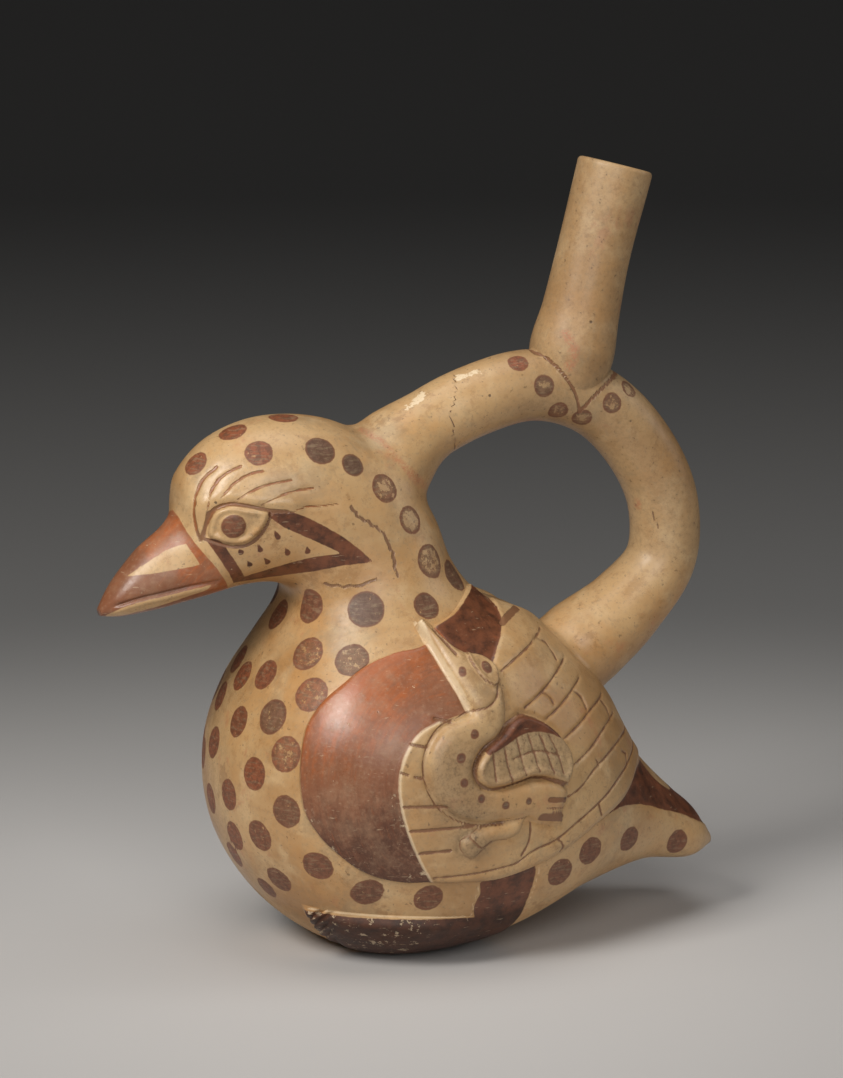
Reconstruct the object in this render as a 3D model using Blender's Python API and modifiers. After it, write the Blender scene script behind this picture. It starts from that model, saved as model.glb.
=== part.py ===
"""A stirrup spout vessel in the shape of a resting water bird, modelled as one hollow fired clay solid.

Units are metres and +Z is up. The bird looks along -X, its left side faces -Y and it stands on z = 0.
The body, head, beak and tail are one skin, lofted through sections. Two arms leave the back of the head
and the back of the body, meet at the crown and carry the spout. The chamber, the arms' channel and the
spout's bore are one hollow that opens at the rim. The wings, the small bird on each wing, the eyes and
the feet are low relief: flat outlines seen from the side, carried out to a skin that stands proud.
"""

import bmesh
import bpy
import numpy as np

# The bird's own proportions are drawn in units of 1/194 of its length, from the beak's tip to the tail's end.
BIRD_LENGTH = 0.194
DRAWN_LENGTH = 194.0

# Half widths across the bird, each at the widest place of its part.
BEAK_HALF_WIDTH = 0.0124
HEAD_HALF_WIDTH = 0.0235
BODY_HALF_WIDTH = 0.055
TAIL_HALF_WIDTH = 0.018

# Clay thicknesses.
BODY_WALL = 0.005
FLOOR_THICKNESS = 0.006
ARM_WALL = 0.004
LIP_WALL = 0.003

# Outer radii of the stirrup's arms: along most of their length and where they grow out of the bird.
ARM_RADIUS = 0.0108
HEAD_ROOT_RADIUS = 0.019
BACK_ROOT_RADIUS = 0.015
HEAD_ROOT_FLARE = 0.036
BACK_ROOT_FLARE = 0.055

# Outer radii of the spout: inside the crown, at the shoulder above it, at the waist and at the lip.
SPOUT_SEAT_RADIUS = 0.0085
SPOUT_SHOULDER_RADIUS = 0.0129
SPOUT_WAIST_RADIUS = 0.0112
SPOUT_LIP_RADIUS = 0.0115

# Heights that the relief stands above the skin, and the mouth line's width and depth below it.
WING_RELIEF = 0.0013
FEATHER_RELIEF = 0.0021
SMALL_BIRD_RELIEF = 0.0042
SMALL_WING_RELIEF = 0.0052
SMALL_LEG_RELIEF = 0.0036
EYE_RELIEF = 0.0012
IRIS_RELIEF = 0.0020
FOOT_RELIEF = 0.0018
MOUTH_LINE_WIDTH = 0.0014
MOUTH_LINE_DEPTH = 0.0009

# Half of the bare strip between the two wings and between their feathers, and how far off the middle plane
# the other relief starts, inside the skin. No two starts are the same, so that no two faces lie in one plane.
WING_GAP = 0.011
FEATHER_GAP = 0.0125
SMALL_BIRD_START = 0.0040
SMALL_WING_START = 0.0046
SMALL_LEG_START = 0.0052
EYE_START = 0.0043
IRIS_START = 0.0049
FOOT_START = 0.0055
MOUTH_LINE_START = 0.0010

# Counts of faces.
SKIN_RINGS = 43
SKIN_SIDES = 34
CHAMBER_RINGS = 18
CHAMBER_SIDES = 18
ARM_STEPS = 26
ARM_BEVEL = 7
CHANNEL_STEPS = 16
CHANNEL_BEVEL = 4
SPOUT_STEPS = 8
SPOUT_BEVEL = 10
BORE_STEPS = 5
BORE_BEVEL = 7
OUTLINE_STEPS = 2
MOUTH_STEPS = 4
CIRCLE_SIDES = 20

CLAY_COLOUR = (0.50, 0.36, 0.22, 1.0)
CLAY_ROUGHNESS = 0.45

# Sections from the beak's tip to the tail's end. Each joins a point of the upper profile to a point of the
# lower profile in the bird's middle plane: upper (x, z), lower (x, z), half width in metres, how far the
# widest line sags towards the lower profile, and fullness, which is 2 for an ellipse and more for a box.
SECTIONS = (
    ("beak tip", (-105.6, 107.6), (-105.2, 105.2), 0.16 * BEAK_HALF_WIDTH, 0.00, 2.0),
    ("nostril", (-102.5, 113.0), (-101.0, 104.8), 0.42 * BEAK_HALF_WIDTH, 0.05, 2.0),
    ("middle of the beak", (-94.5, 123.0), (-91.0, 105.8), 0.71 * BEAK_HALF_WIDTH, 0.15, 2.0),
    ("root of the beak", (-83.0, 133.5), (-76.0, 108.8), BEAK_HALF_WIDTH, 0.20, 2.0),
    ("brow", (-80.5, 146.0), (-62.0, 111.8), 0.70 * HEAD_HALF_WIDTH, 0.10, 2.1),
    ("eyes", (-69.6, 156.3), (-53.2, 112.0), 0.85 * HEAD_HALF_WIDTH, 0.05, 2.1),
    ("crown of the head", (-54.5, 161.0), (-48.8, 110.6), 0.94 * HEAD_HALF_WIDTH, 0.00, 2.1),
    ("back of the head", (-34.0, 159.2), (-47.0, 108.4), HEAD_HALF_WIDTH, 0.00, 2.1),
    ("nape", (-14.5, 148.0), (-47.4, 104.8), 1.04 * HEAD_HALF_WIDTH, 0.00, 2.1),
    ("throat", (-2.8, 131.0), (-50.8, 99.0), 1.13 * HEAD_HALF_WIDTH, 0.00, 2.1),
    ("foot of the neck", (3.0, 116.5), (-57.0, 90.0), 0.58 * BODY_HALF_WIDTH, 0.05, 2.1),
    ("shoulders", (11.4, 105.8), (-64.8, 76.0), 0.76 * BODY_HALF_WIDTH, 0.08, 2.1),
    ("chest", (26.0, 98.6), (-69.9, 56.0), 0.94 * BODY_HALF_WIDTH, 0.08, 2.1),
    ("middle of the body", (39.4, 87.6), (-66.8, 33.3), BODY_HALF_WIDTH, 0.08, 2.1),
    ("front of the base", (49.4, 75.8), (-51.5, 11.5), 0.99 * BODY_HALF_WIDTH, 0.05, 2.1),
    ("middle of the base", (56.0, 64.8), (-30.0, -0.8), 0.93 * BODY_HALF_WIDTH, 0.05, 2.1),
    ("back of the base", (62.0, 55.2), (-1.0, -1.0), 0.80 * BODY_HALF_WIDTH, 0.05, 2.1),
    ("root of the tail", (69.3, 46.6), (30.0, 11.0), 0.62 * BODY_HALF_WIDTH, 0.10, 2.2),
    ("middle of the tail", (77.4, 38.6), (60.0, 18.6), 1.36 * TAIL_HALF_WIDTH, 0.20, 2.4),
    ("end of the tail", (85.0, 31.2), (80.0, 17.6), TAIL_HALF_WIDTH, 0.25, 2.5),
    ("tail edge", (88.2, 25.2), (87.4, 19.6), 0.67 * TAIL_HALF_WIDTH, 0.10, 2.4),
)
CHAMBER_FROM = "brow"
CHAMBER_TO = "root of the tail"

# Centre lines in the middle plane, as (x, z): the stirrup from inside the head to inside the back, and the
# spout from inside the crown to the rim.
STIRRUP_LINE = (
    (-26.0, 133.0),
    (-6.5, 152.6),
    (13.0, 162.0),
    (32.7, 165.7),
    (51.5, 160.2),
    (67.0, 145.6),
    (75.8, 127.0),
    (75.2, 109.6),
    (63.5, 95.6),
    (46.0, 82.6),
    (37.0, 75.0),
)
SPOUT_LINE = (
    (41.8, 156.0),
    (43.3, 167.0),
    (44.5, 174.0),
    (50.9, 201.0),
    (59.0, 231.3),
)
BORE_OVERRUN = 0.02

# Relief outlines as (x, z) seen from the side. Each is a closed smooth curve through its points.
WING_OUTLINE = (
    (61.0, 52.5),
    (46.0, 45.5),
    (28.0, 38.0),
    (6.0, 30.0),
    (-14.0, 28.0),
    (-34.0, 28.8),
    (-49.0, 38.5),
    (-56.8, 58.0),
    (-52.0, 79.0),
    (-37.0, 91.5),
    (-19.0, 97.0),
    (-8.0, 102.0),
    (4.0, 110.0),
    (20.0, 106.0),
    (42.0, 88.0),
    (58.0, 66.0),
)
FEATHER_OUTLINE = (
    (58.5, 52.6),
    (45.0, 47.0),
    (27.0, 39.8),
    (6.0, 31.8),
    (-19.0, 30.5),
    (-28.0, 41.0),
    (-32.3, 60.0),
    (-27.0, 73.0),
    (-11.0, 79.0),
    (1.0, 90.0),
    (9.0, 99.0),
    (20.0, 103.0),
    (40.0, 86.0),
    (56.0, 65.0),
)
SMALL_BIRD_OUTLINE = (
    (-19.4, 103.3),
    (-8.5, 94.2),
    (-1.5, 91.6),
    (1.2, 84.0),
    (-0.5, 73.5),
    (-8.0, 68.0),
    (-9.6, 61.0),
    (4.0, 58.5),
    (20.0, 54.6),
    (18.6, 44.5),
    (5.0, 47.0),
    (-9.0, 47.8),
    (-19.5, 52.5),
    (-25.0, 63.0),
    (-21.0, 73.5),
    (-11.0, 77.4),
    (-12.2, 83.5),
    (-17.0, 96.5),
)
SMALL_WING_OUTLINE = (
    (-10.2, 62.0),
    (-6.0, 69.0),
    (2.0, 74.5),
    (8.5, 76.2),
    (17.0, 70.0),
    (22.6, 60.5),
    (19.5, 54.8),
    (11.0, 57.6),
    (-3.0, 56.6),
)
SMALL_LEG_OUTLINE = (
    (6.0, 48.0),
    (4.0, 43.2),
    (-4.0, 41.2),
    (-10.0, 37.2),
    (-14.6, 40.6),
    (-11.0, 45.0),
    (-2.0, 46.5),
)
EYE_OUTLINE = (
    (-75.8, 129.2),
    (-74.6, 136.0),
    (-70.0, 138.2),
    (-65.5, 137.5),
    (-60.2, 136.0),
    (-61.6, 131.6),
    (-66.4, 127.5),
    (-71.5, 127.4),
)
IRIS_CENTRE = (-70.0, 132.4)
IRIS_RADIUS = 0.0034
FOOT_OUTLINE = (
    (-50.5, 14.6),
    (-40.0, 17.6),
    (-16.0, 17.8),
    (8.0, 16.4),
    (11.0, 8.5),
    (7.0, 3.0),
    (-32.0, 3.0),
    (-45.0, 7.0),
)
MOUTH_LINE = (
    (-103.8, 108.7),
    (-97.6, 110.4),
    (-86.9, 112.8),
    (-73.5, 115.0),
)


def unit():
    """The length in metres of one unit of the drawing."""
    return BIRD_LENGTH / DRAWN_LENGTH


def spline(keys, values, at):
    """A smooth curve through the rows of values at the keys, read at each place in at.

    Each stretch is a cubic whose end slopes are the means of the slopes on either side.
    """
    keys = np.asarray(keys, float)
    values = np.asarray(values, float)
    steps = np.diff(keys)
    slopes = np.diff(values, axis=0) / steps[:, None]
    ends = np.empty_like(values)
    ends[0], ends[-1] = slopes[0], slopes[-1]
    weights = steps[1:, None] + steps[:-1, None]
    ends[1:-1] = (slopes[:-1] * steps[1:, None] + slopes[1:] * steps[:-1, None]) / weights
    at = np.asarray(at, float)
    left = np.clip(np.searchsorted(keys, at, side="right") - 1, 0, len(keys) - 2)
    span = steps[left][:, None]
    s = ((at - keys[left]) / steps[left])[:, None]
    return (
        (2 * s**3 - 3 * s**2 + 1) * values[left]
        + (s**3 - 2 * s**2 + s) * span * ends[left]
        + (3 * s**2 - 2 * s**3) * values[left + 1]
        + (s**3 - s**2) * span * ends[left + 1]
    )


def distances(points):
    """How far each point lies along the line through the points."""
    return np.concatenate([[0.0], np.cumsum(np.linalg.norm(np.diff(points, axis=0), axis=1))])


def section_values():
    """The sections as rows of upper x, upper z, lower x, lower z, half width, sag and fullness, in metres,
    and each section's place along the skin from 0 to 1."""
    upper = np.array([row[1] for row in SECTIONS]) * unit()
    lower = np.array([row[2] for row in SECTIONS]) * unit()
    shape = np.array([row[3:] for row in SECTIONS])
    keys = (distances(upper) + distances(lower)) / 2
    return keys / keys[-1], np.hstack([upper, lower, shape])


def section_place(name):
    """Where a named section lies along the skin, from 0 to 1."""
    keys, _ = section_values()
    return keys[[row[0] for row in SECTIONS].index(name)]


def skin_grid(places, sides, grow=0.0, floor=0.0):
    """Points of the bird's skin, one row for each place along it, moved outwards by grow.

    A section is a superellipse that runs from the upper point round to the lower one and back, and
    nothing of it lies below the floor.
    """
    keys, values = section_values()
    rows = spline(keys, values, places)
    upper, lower = rows[:, 0:2], rows[:, 2:4]
    half_width, sag, fullness = rows[:, 4], rows[:, 5:6], rows[:, 6:7]
    down = (lower - upper) / np.linalg.norm(lower - upper, axis=1)[:, None]
    upper = upper - down * grow
    lower = lower + down * grow
    turn = np.linspace(0.0, 2 * np.pi, sides, endpoint=False)[None, :]
    rise = np.sign(np.cos(turn)) * np.abs(np.cos(turn)) ** (2 / fullness)
    across = np.sign(np.sin(turn)) * np.abs(np.sin(turn)) ** (2 / fullness)
    share = (1 - rise) / 2
    share = share + 2 * sag * share * (1 - share)
    x = upper[:, 0:1] + (lower - upper)[:, 0:1] * share
    z = upper[:, 1:2] + (lower - upper)[:, 1:2] * share
    y = (half_width[:, None] + grow) * across
    return np.stack([x, y, np.maximum(z, floor)], axis=-1)


def link(mesh, name, collection):
    """A new object that shows the mesh, in the collection."""
    thing = bpy.data.objects.new(name, mesh)
    collection.objects.link(thing)
    return thing


def closed_mesh(name, grid):
    """A mesh through a grid of rings, closed by a flat cap at each end, with its faces pointing out."""
    rings, sides = grid.shape[:2]
    number = np.arange(rings * sides).reshape(rings, sides)
    beside = np.roll(number, -1, axis=1)
    quads = np.stack([number[:-1], beside[:-1], beside[1:], number[1:]], axis=-1).reshape(-1, 4)
    faces = quads.tolist() + [number[0].tolist(), number[-1][::-1].tolist()]
    mesh = bpy.data.meshes.new(name)
    mesh.from_pydata(grid.reshape(-1, 3).tolist(), [], faces)
    outward(mesh)
    return mesh


def outward(mesh):
    """Merges loose doubles of a closed mesh, turns its faces outwards and shades it smooth."""
    work = bmesh.new()
    work.from_mesh(mesh)
    bmesh.ops.remove_doubles(work, verts=work.verts, dist=0.00001)
    bmesh.ops.recalc_face_normals(work, faces=work.faces)
    work.to_mesh(mesh)
    work.free()
    mesh.shade_smooth()
    mesh.set_sharp_from_angle(angle=0.6)


def skin(name, collection, rings, sides, grow=0.0, floor=0.0, first=0.0, last=1.0):
    """A closed skin of the bird between two places along it."""
    grid = skin_grid(np.linspace(first, last, rings), sides, grow, floor)
    return link(closed_mesh(name, grid), name, collection)


def smooth(share):
    """Runs gently from 0 to 1 as the share does."""
    share = np.clip(share, 0.0, 1.0)
    return share * share * (3 - 2 * share)


def curve_to_mesh(curve_object):
    """Turns a curve object into a welded closed mesh object of the same name and place."""
    graph = bpy.context.evaluated_depsgraph_get()
    mesh = bpy.data.meshes.new_from_object(curve_object.evaluated_get(graph))
    name, collection = curve_object.name, curve_object.users_collection[0]
    place = curve_object.matrix_world.copy()
    bpy.data.objects.remove(curve_object)
    outward(mesh)
    thing = link(mesh, name, collection)
    thing.matrix_world = place
    return thing


def tube(name, collection, points, radii, bevel):
    """A round bar along a line in the middle plane, with a radius for each of its points."""
    curve = bpy.data.curves.new(name, "CURVE")
    curve.dimensions = "3D"
    curve.bevel_depth = float(max(radii))
    curve.bevel_resolution = bevel
    curve.use_fill_caps = True
    line = curve.splines.new("POLY")
    line.points.add(len(points) - 1)
    for point, (x, z), radius in zip(line.points, points, radii):
        point.co = (x, 0.0, z, 1.0)
        point.radius = float(radius / max(radii))
    return curve_to_mesh(link(curve, name, collection))


def along(line, steps, extra=0.0):
    """A smooth line through drawn points in equal steps, run on by extra at its end, and its distances."""
    points = np.array(line) * unit()
    if extra:
        end = points[-1] - points[-2]
        points = np.vstack([points, points[-1] + end / np.linalg.norm(end) * extra])
    keys = distances(points)
    at = np.linspace(0.0, keys[-1], steps)
    return spline(keys, points, at), at


def arm_radii(at):
    """The stirrup's outer radius at distances along it: even, and flared out to each root."""
    from_head = 1 - smooth(at / HEAD_ROOT_FLARE)
    from_back = 1 - smooth((at[-1] - at) / BACK_ROOT_FLARE)
    head_flare = (HEAD_ROOT_RADIUS - ARM_RADIUS) * from_head
    back_flare = (BACK_ROOT_RADIUS - ARM_RADIUS) * from_back
    return ARM_RADIUS + head_flare + back_flare


def spout_radii(at):
    """The spout's outer radius at distances along it, through its seat, shoulder, waist and lip."""
    places = distances(np.array(SPOUT_LINE) * unit())
    sizes = [
        SPOUT_SEAT_RADIUS,
        (SPOUT_SEAT_RADIUS + 2 * SPOUT_SHOULDER_RADIUS) / 3,
        SPOUT_SHOULDER_RADIUS,
        SPOUT_WAIST_RADIUS,
        SPOUT_LIP_RADIUS,
    ]
    inside = np.minimum(at, places[-1])
    return spline(places, np.array(sizes)[:, None], inside)[:, 0]


def boolean(thing, operation, other):
    """Joins the other object to the thing, cuts it out, or keeps what both share."""
    step = thing.modifiers.new(f"{operation.lower()} {other.name}", "BOOLEAN")
    step.operation = operation
    step.solver = "EXACT"
    step.object = other


def outline_slab(name, collection, points, start):
    """A slab with a side view outline, from y = -start outwards to well past the body's left side."""
    reach = 2 * BODY_HALF_WIDTH
    curve = bpy.data.curves.new(name, "CURVE")
    curve.dimensions = "2D"
    curve.fill_mode = "BOTH"
    curve.extrude = (reach - start) / 2
    line = curve.splines.new("POLY")
    line.points.add(len(points) - 1)
    line.use_cyclic_u = True
    for point, (x, z) in zip(line.points, points):
        point.co = (x, z, 0.0, 1.0)
    slab = link(curve, name, collection)
    slab.rotation_euler = (np.pi / 2, 0.0, 0.0)
    slab.location = (0.0, -(reach + start) / 2, 0.0)
    bpy.context.view_layer.update()
    return curve_to_mesh(slab)


def closed_outline(points):
    """A closed smooth outline through drawn points, in even steps from each to the next."""
    lap = np.array(points + points[:3]) * unit()
    lap = np.vstack([np.array(points[-2:]) * unit(), lap])
    keys = distances(lap)
    first, last = 2, 2 + len(points)
    steps = OUTLINE_STEPS
    stretches = [np.linspace(keys[i], keys[i + 1], steps, endpoint=False) for i in range(first, last)]
    return spline(keys, lap, np.concatenate(stretches))


def stroke_outline(points, width, steps):
    """The outline of a line of even width through drawn points."""
    centre, _ = along(points, steps * (len(points) - 1) + 1)
    course = np.gradient(centre, axis=0)
    course = course / np.linalg.norm(course, axis=1)[:, None]
    side = np.stack([-course[:, 1], course[:, 0]], axis=-1) * width / 2
    return np.vstack([centre + side, (centre - side)[::-1]])


def round_outline(centre, radius):
    """A circle about a drawn point."""
    turn = np.linspace(0.0, 2 * np.pi, CIRCLE_SIDES, endpoint=False)
    return np.array(centre) * unit() + radius * np.stack([np.cos(turn), np.sin(turn)], axis=-1)


def both_sides(thing):
    """Repeats the thing on the bird's right side."""
    mirror = thing.modifiers.new("right side", "MIRROR")
    mirror.use_axis = (False, True, False)
    mirror.use_mirror_merge = False
    mirror.merge_threshold = 0.0001


def raised(name, guides, outline, height, start):
    """Relief on both sides: what a slab of the outline shares with a skin that stands proud by the height."""
    relief = outline_slab(name, guides, outline, start)
    relief.data.transform(relief.matrix_world)
    relief.matrix_world.identity()
    proud = skin(f"{name} skin", guides, SKIN_RINGS, SKIN_SIDES, grow=height)
    boolean(relief, "INTERSECT", proud)
    both_sides(relief)
    return relief


def sunk(name, guides, outline, depth, start):
    """A cutter on both sides: what is left of a slab of the outline outside a skin sunk by the depth."""
    groove = outline_slab(name, guides, outline, start)
    groove.data.transform(groove.matrix_world)
    groove.matrix_world.identity()
    low = skin(f"{name} skin", guides, SKIN_RINGS, SKIN_SIDES, grow=-depth)
    boolean(groove, "DIFFERENCE", low)
    both_sides(groove)
    return groove


def make_reliefs(guides):
    """The wings, the small birds on them, the eyes and the feet, in the order in which they are joined."""
    figures = (
        ("wings", closed_outline(WING_OUTLINE), WING_RELIEF, WING_GAP),
        ("feathers", closed_outline(FEATHER_OUTLINE), FEATHER_RELIEF, FEATHER_GAP),
        ("small birds", closed_outline(SMALL_BIRD_OUTLINE), SMALL_BIRD_RELIEF, SMALL_BIRD_START),
        ("small wings", closed_outline(SMALL_WING_OUTLINE), SMALL_WING_RELIEF, SMALL_WING_START),
        ("small legs", closed_outline(SMALL_LEG_OUTLINE), SMALL_LEG_RELIEF, SMALL_LEG_START),
        ("eyes", closed_outline(EYE_OUTLINE), EYE_RELIEF, EYE_START),
        ("irises", round_outline(IRIS_CENTRE, IRIS_RADIUS), IRIS_RELIEF, IRIS_START),
        ("feet", closed_outline(FOOT_OUTLINE), FOOT_RELIEF, FOOT_START),
    )
    return [raised(name, guides, outline, height, start) for name, outline, height, start in figures]


def make_stirrup(guides):
    """The bar of the two arms, from inside the head over the crown to inside the back."""
    points, at = along(STIRRUP_LINE, ARM_STEPS)
    return tube("stirrup", guides, points, arm_radii(at), ARM_BEVEL)


def make_spout(guides):
    """The bar of the spout, from inside the crown to the rim."""
    points, at = along(SPOUT_LINE, SPOUT_STEPS)
    return tube("spout", guides, points, spout_radii(at), SPOUT_BEVEL)


def make_hollow(guides):
    """The chamber with the arms' channel and the spout's bore, as one cutter."""
    first, last = section_place(CHAMBER_FROM), section_place(CHAMBER_TO)
    chamber = skin(
        "chamber", guides, CHAMBER_RINGS, CHAMBER_SIDES, -BODY_WALL, FLOOR_THICKNESS, first, last
    )
    points, at = along(STIRRUP_LINE, CHANNEL_STEPS)
    channel = tube("channel", guides, points, arm_radii(at) - ARM_WALL, CHANNEL_BEVEL)
    points, at = along(SPOUT_LINE[1:], BORE_STEPS, BORE_OVERRUN)
    seat = distances(np.array(SPOUT_LINE) * unit())[1]
    bore = tube("bore", guides, points, spout_radii(at + seat) - LIP_WALL, BORE_BEVEL)
    boolean(chamber, "UNION", channel)
    boolean(chamber, "UNION", bore)
    return chamber


def clay():
    """The fired clay under its cream slip."""
    material = bpy.data.materials.new("cream slipped clay")
    material.use_nodes = True
    shader = material.node_tree.nodes["Principled BSDF"]
    shader.inputs["Base Color"].default_value = CLAY_COLOUR
    shader.inputs["Roughness"].default_value = CLAY_ROUGHNESS
    return material


def new_collection(name):
    """A collection in the scene."""
    collection = bpy.data.collections.new(name)
    bpy.context.scene.collection.children.link(collection)
    return collection


def main():
    """Builds the vessel: skin, stirrup, spout and relief joined, less the mouth line and the hollow."""
    for thing in list(bpy.data.objects):
        bpy.data.objects.remove(thing)
    parts = new_collection("stirrup spout vessel")
    guides = new_collection("guides and cutters")
    vessel = skin("stirrup_spout_vessel", parts, SKIN_RINGS, SKIN_SIDES)
    vessel.data.materials.append(clay())
    for piece in [make_stirrup(guides), make_spout(guides), *make_reliefs(guides)]:
        boolean(vessel, "UNION", piece)
    mouth = stroke_outline(MOUTH_LINE, MOUTH_LINE_WIDTH, MOUTH_STEPS)
    boolean(vessel, "DIFFERENCE", sunk("mouth line", guides, mouth, MOUTH_LINE_DEPTH, MOUTH_LINE_START))
    boolean(vessel, "DIFFERENCE", make_hollow(guides))
    for guide in guides.objects:
        guide.hide_render = True
        guide.display_type = "WIRE"


main()
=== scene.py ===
"""The painted and burnished finish of a stirrup spout vessel in the shape of a resting water bird.

Drawn sizes are millimetres in the CAD frame: the bird looks along -X, its left side faces -Y and it stands
on z = 0. Outlines and lines are (x, z) in the side view. They are laid onto the left side of the skin, and
the right side, which the photograph does not show, repeats them.
"""

import logging
import math
from dataclasses import dataclass
from enum import Enum

import bpy
import numpy as np
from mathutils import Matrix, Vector

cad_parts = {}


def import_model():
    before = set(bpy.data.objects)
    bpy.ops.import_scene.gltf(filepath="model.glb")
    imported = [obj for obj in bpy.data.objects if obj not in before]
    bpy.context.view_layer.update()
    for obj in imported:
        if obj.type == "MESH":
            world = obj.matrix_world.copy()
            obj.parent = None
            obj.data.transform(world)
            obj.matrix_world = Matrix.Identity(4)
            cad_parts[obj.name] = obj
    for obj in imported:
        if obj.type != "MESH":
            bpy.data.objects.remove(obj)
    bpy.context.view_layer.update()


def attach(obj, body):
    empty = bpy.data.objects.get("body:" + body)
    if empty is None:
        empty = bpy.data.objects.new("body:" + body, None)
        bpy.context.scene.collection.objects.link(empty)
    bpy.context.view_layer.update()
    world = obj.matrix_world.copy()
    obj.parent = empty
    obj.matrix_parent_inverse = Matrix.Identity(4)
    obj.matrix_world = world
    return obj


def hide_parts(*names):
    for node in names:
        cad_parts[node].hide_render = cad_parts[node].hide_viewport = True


LOG = logging.getLogger("vessel")
MM = 0.001
NODE = "stirrup_spout_vessel"
Line = tuple[tuple[float, float], ...]


# Plain geometry


def soft(share: np.ndarray) -> np.ndarray:
    """Runs gently from 0 to 1 as the share does: 3s² - 2s³."""
    share = np.clip(share, 0.0, 1.0)
    return share * share * (3 - 2 * share)


def dome(share: np.ndarray) -> np.ndarray:
    """A quarter round from 0 to 1: the root of 1 - (1 - s)²."""
    share = np.clip(share, 0.0, 1.0)
    return np.sqrt(1 - (1 - share) ** 2)


def lengths(points: np.ndarray) -> np.ndarray:
    """How far each point lies along the line through the points."""
    return np.concatenate([[0.0], np.cumsum(np.linalg.norm(np.diff(points, axis=0), axis=1))])


def spline(keys: np.ndarray, values: np.ndarray, at: np.ndarray) -> np.ndarray:
    """A smooth curve through rows of values at the keys, read at each place in at.

    Each stretch is a Hermite cubic, and its end slopes are the weighted means of the slopes on either side.

    Args:
        keys: Rising places of the rows.
        values: One row for each key.
        at: Places to read.

    Returns:
        One row for each place.
    """
    steps = np.diff(keys)
    slopes = np.diff(values, axis=0) / steps[:, None]
    ends = np.empty_like(values)
    ends[0], ends[-1] = slopes[0], slopes[-1]
    weights = steps[1:, None] + steps[:-1, None]
    ends[1:-1] = (slopes[:-1] * steps[1:, None] + slopes[1:] * steps[:-1, None]) / weights
    left = np.clip(np.searchsorted(keys, at, side="right") - 1, 0, len(keys) - 2)
    span = steps[left][:, None]
    s = ((at - keys[left]) / steps[left])[:, None]
    return (
        (2 * s**3 - 3 * s**2 + 1) * values[left]
        + (s**3 - 2 * s**2 + s) * span * ends[left]
        + (3 * s**2 - 2 * s**3) * values[left + 1]
        + (s**3 - s**2) * span * ends[left + 1]
    )


def smooth_line(points: Line, step: float = 1.5) -> np.ndarray:
    """A smooth open line through drawn points, in steps of about the given length."""
    drawn = np.array(points, float)
    keys = lengths(drawn)
    count = max(2, int(keys[-1] / step) + 1)
    return spline(keys, drawn, np.linspace(0.0, keys[-1], count))


def smooth_outline(points: Line, step: float = 1.5) -> np.ndarray:
    """A smooth closed outline through drawn points, in steps of about the given length."""
    drawn = np.array(points, float)
    lap = np.vstack([drawn[-2:], drawn, drawn[:3]])
    keys = lengths(lap)
    first, last = keys[2], keys[2 + len(drawn)]
    count = max(8, int((last - first) / step))
    return spline(keys, lap, np.linspace(first, last, count, endpoint=False))


def joined(parts: tuple[Line, ...], step: float = 1.0) -> np.ndarray:
    """A closed outline of smooth open lines that meet in corners."""
    return np.vstack([smooth_line(part, step) for part in parts])


def path_distance(points: np.ndarray, path: np.ndarray) -> np.ndarray:
    """The least distance from each point to the straight stretches of a path, in 2-D or 3-D."""
    start, along = path[:-1], np.diff(path, axis=0)
    from_start = points[:, None, :] - start
    share = np.clip((from_start * along).sum(-1) / np.maximum((along**2).sum(-1), 1e-9), 0.0, 1.0)
    gap = from_start - share[..., None] * along
    return np.sqrt((gap**2).sum(-1)).min(1)


def near_distance(points: np.ndarray, path: np.ndarray, reach: float) -> np.ndarray:
    """The path distance where it is under the reach, and the reach elsewhere."""
    result = np.full(len(points), reach)
    near = ((points > path.min(0) - reach) & (points < path.max(0) + reach)).all(1)
    if near.any():
        result[near] = np.minimum(path_distance(points[near], path), reach)
    return result


def inside_distance(points: np.ndarray, outline: np.ndarray, reach: float = 12.0) -> np.ndarray:
    """Signed distance to a closed outline in the side view, positive inside.

    A point is inside where a ray from it crosses the outline an odd number of times.

    Args:
        points: Points as rows of x and z.
        outline: The outline's corners.
        reach: The distance past which the result is not worked out further.

    Returns:
        One distance for each point.
    """
    lap = np.vstack([outline, outline[:1]])
    distance = near_distance(points, lap, reach)
    inside = np.zeros(len(points), bool)
    box = ((points > outline.min(0)) & (points < outline.max(0))).all(1)
    if box.any():
        x, z = points[box, 0:1], points[box, 1:2]
        x0, z0, x1, z1 = lap[:-1, 0], lap[:-1, 1], lap[1:, 0], lap[1:, 1]
        rise = np.where(z1 == z0, 1e-9, z1 - z0)
        crossing = ((z0 > z) != (z1 > z)) & (x < x0 + (x1 - x0) * (z - z0) / rise)
        inside[box] = crossing.sum(1) % 2 == 1
    return np.where(inside, distance, -distance)


def grid_normals(grid: np.ndarray, wrap: bool) -> np.ndarray:
    """Unit normals of a grid of points: the cross product of its two directions by central differences."""
    if wrap:
        across = np.roll(grid, -1, axis=1) - np.roll(grid, 1, axis=1)
    else:
        across = np.gradient(grid, axis=1)
    normal = np.cross(across, np.gradient(grid, axis=0))
    return normal / np.maximum(np.linalg.norm(normal, axis=-1, keepdims=True), 1e-9)


def new_mesh(name: str, points: np.ndarray, faces: list) -> bpy.types.Object:
    """A smooth mesh object from points in millimetres.

    Args:
        name: The object's and the mesh's name.
        points: Rows of x, y and z.
        faces: Lists of point numbers.

    Returns:
        The new object, at the origin.
    """
    mesh = bpy.data.meshes.new(name)
    mesh.from_pydata((points * MM).tolist(), [], faces)
    mesh.validate()
    mesh.shade_smooth()
    thing = bpy.data.objects.new(name, mesh)
    bpy.context.scene.collection.objects.link(thing)
    return thing


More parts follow.
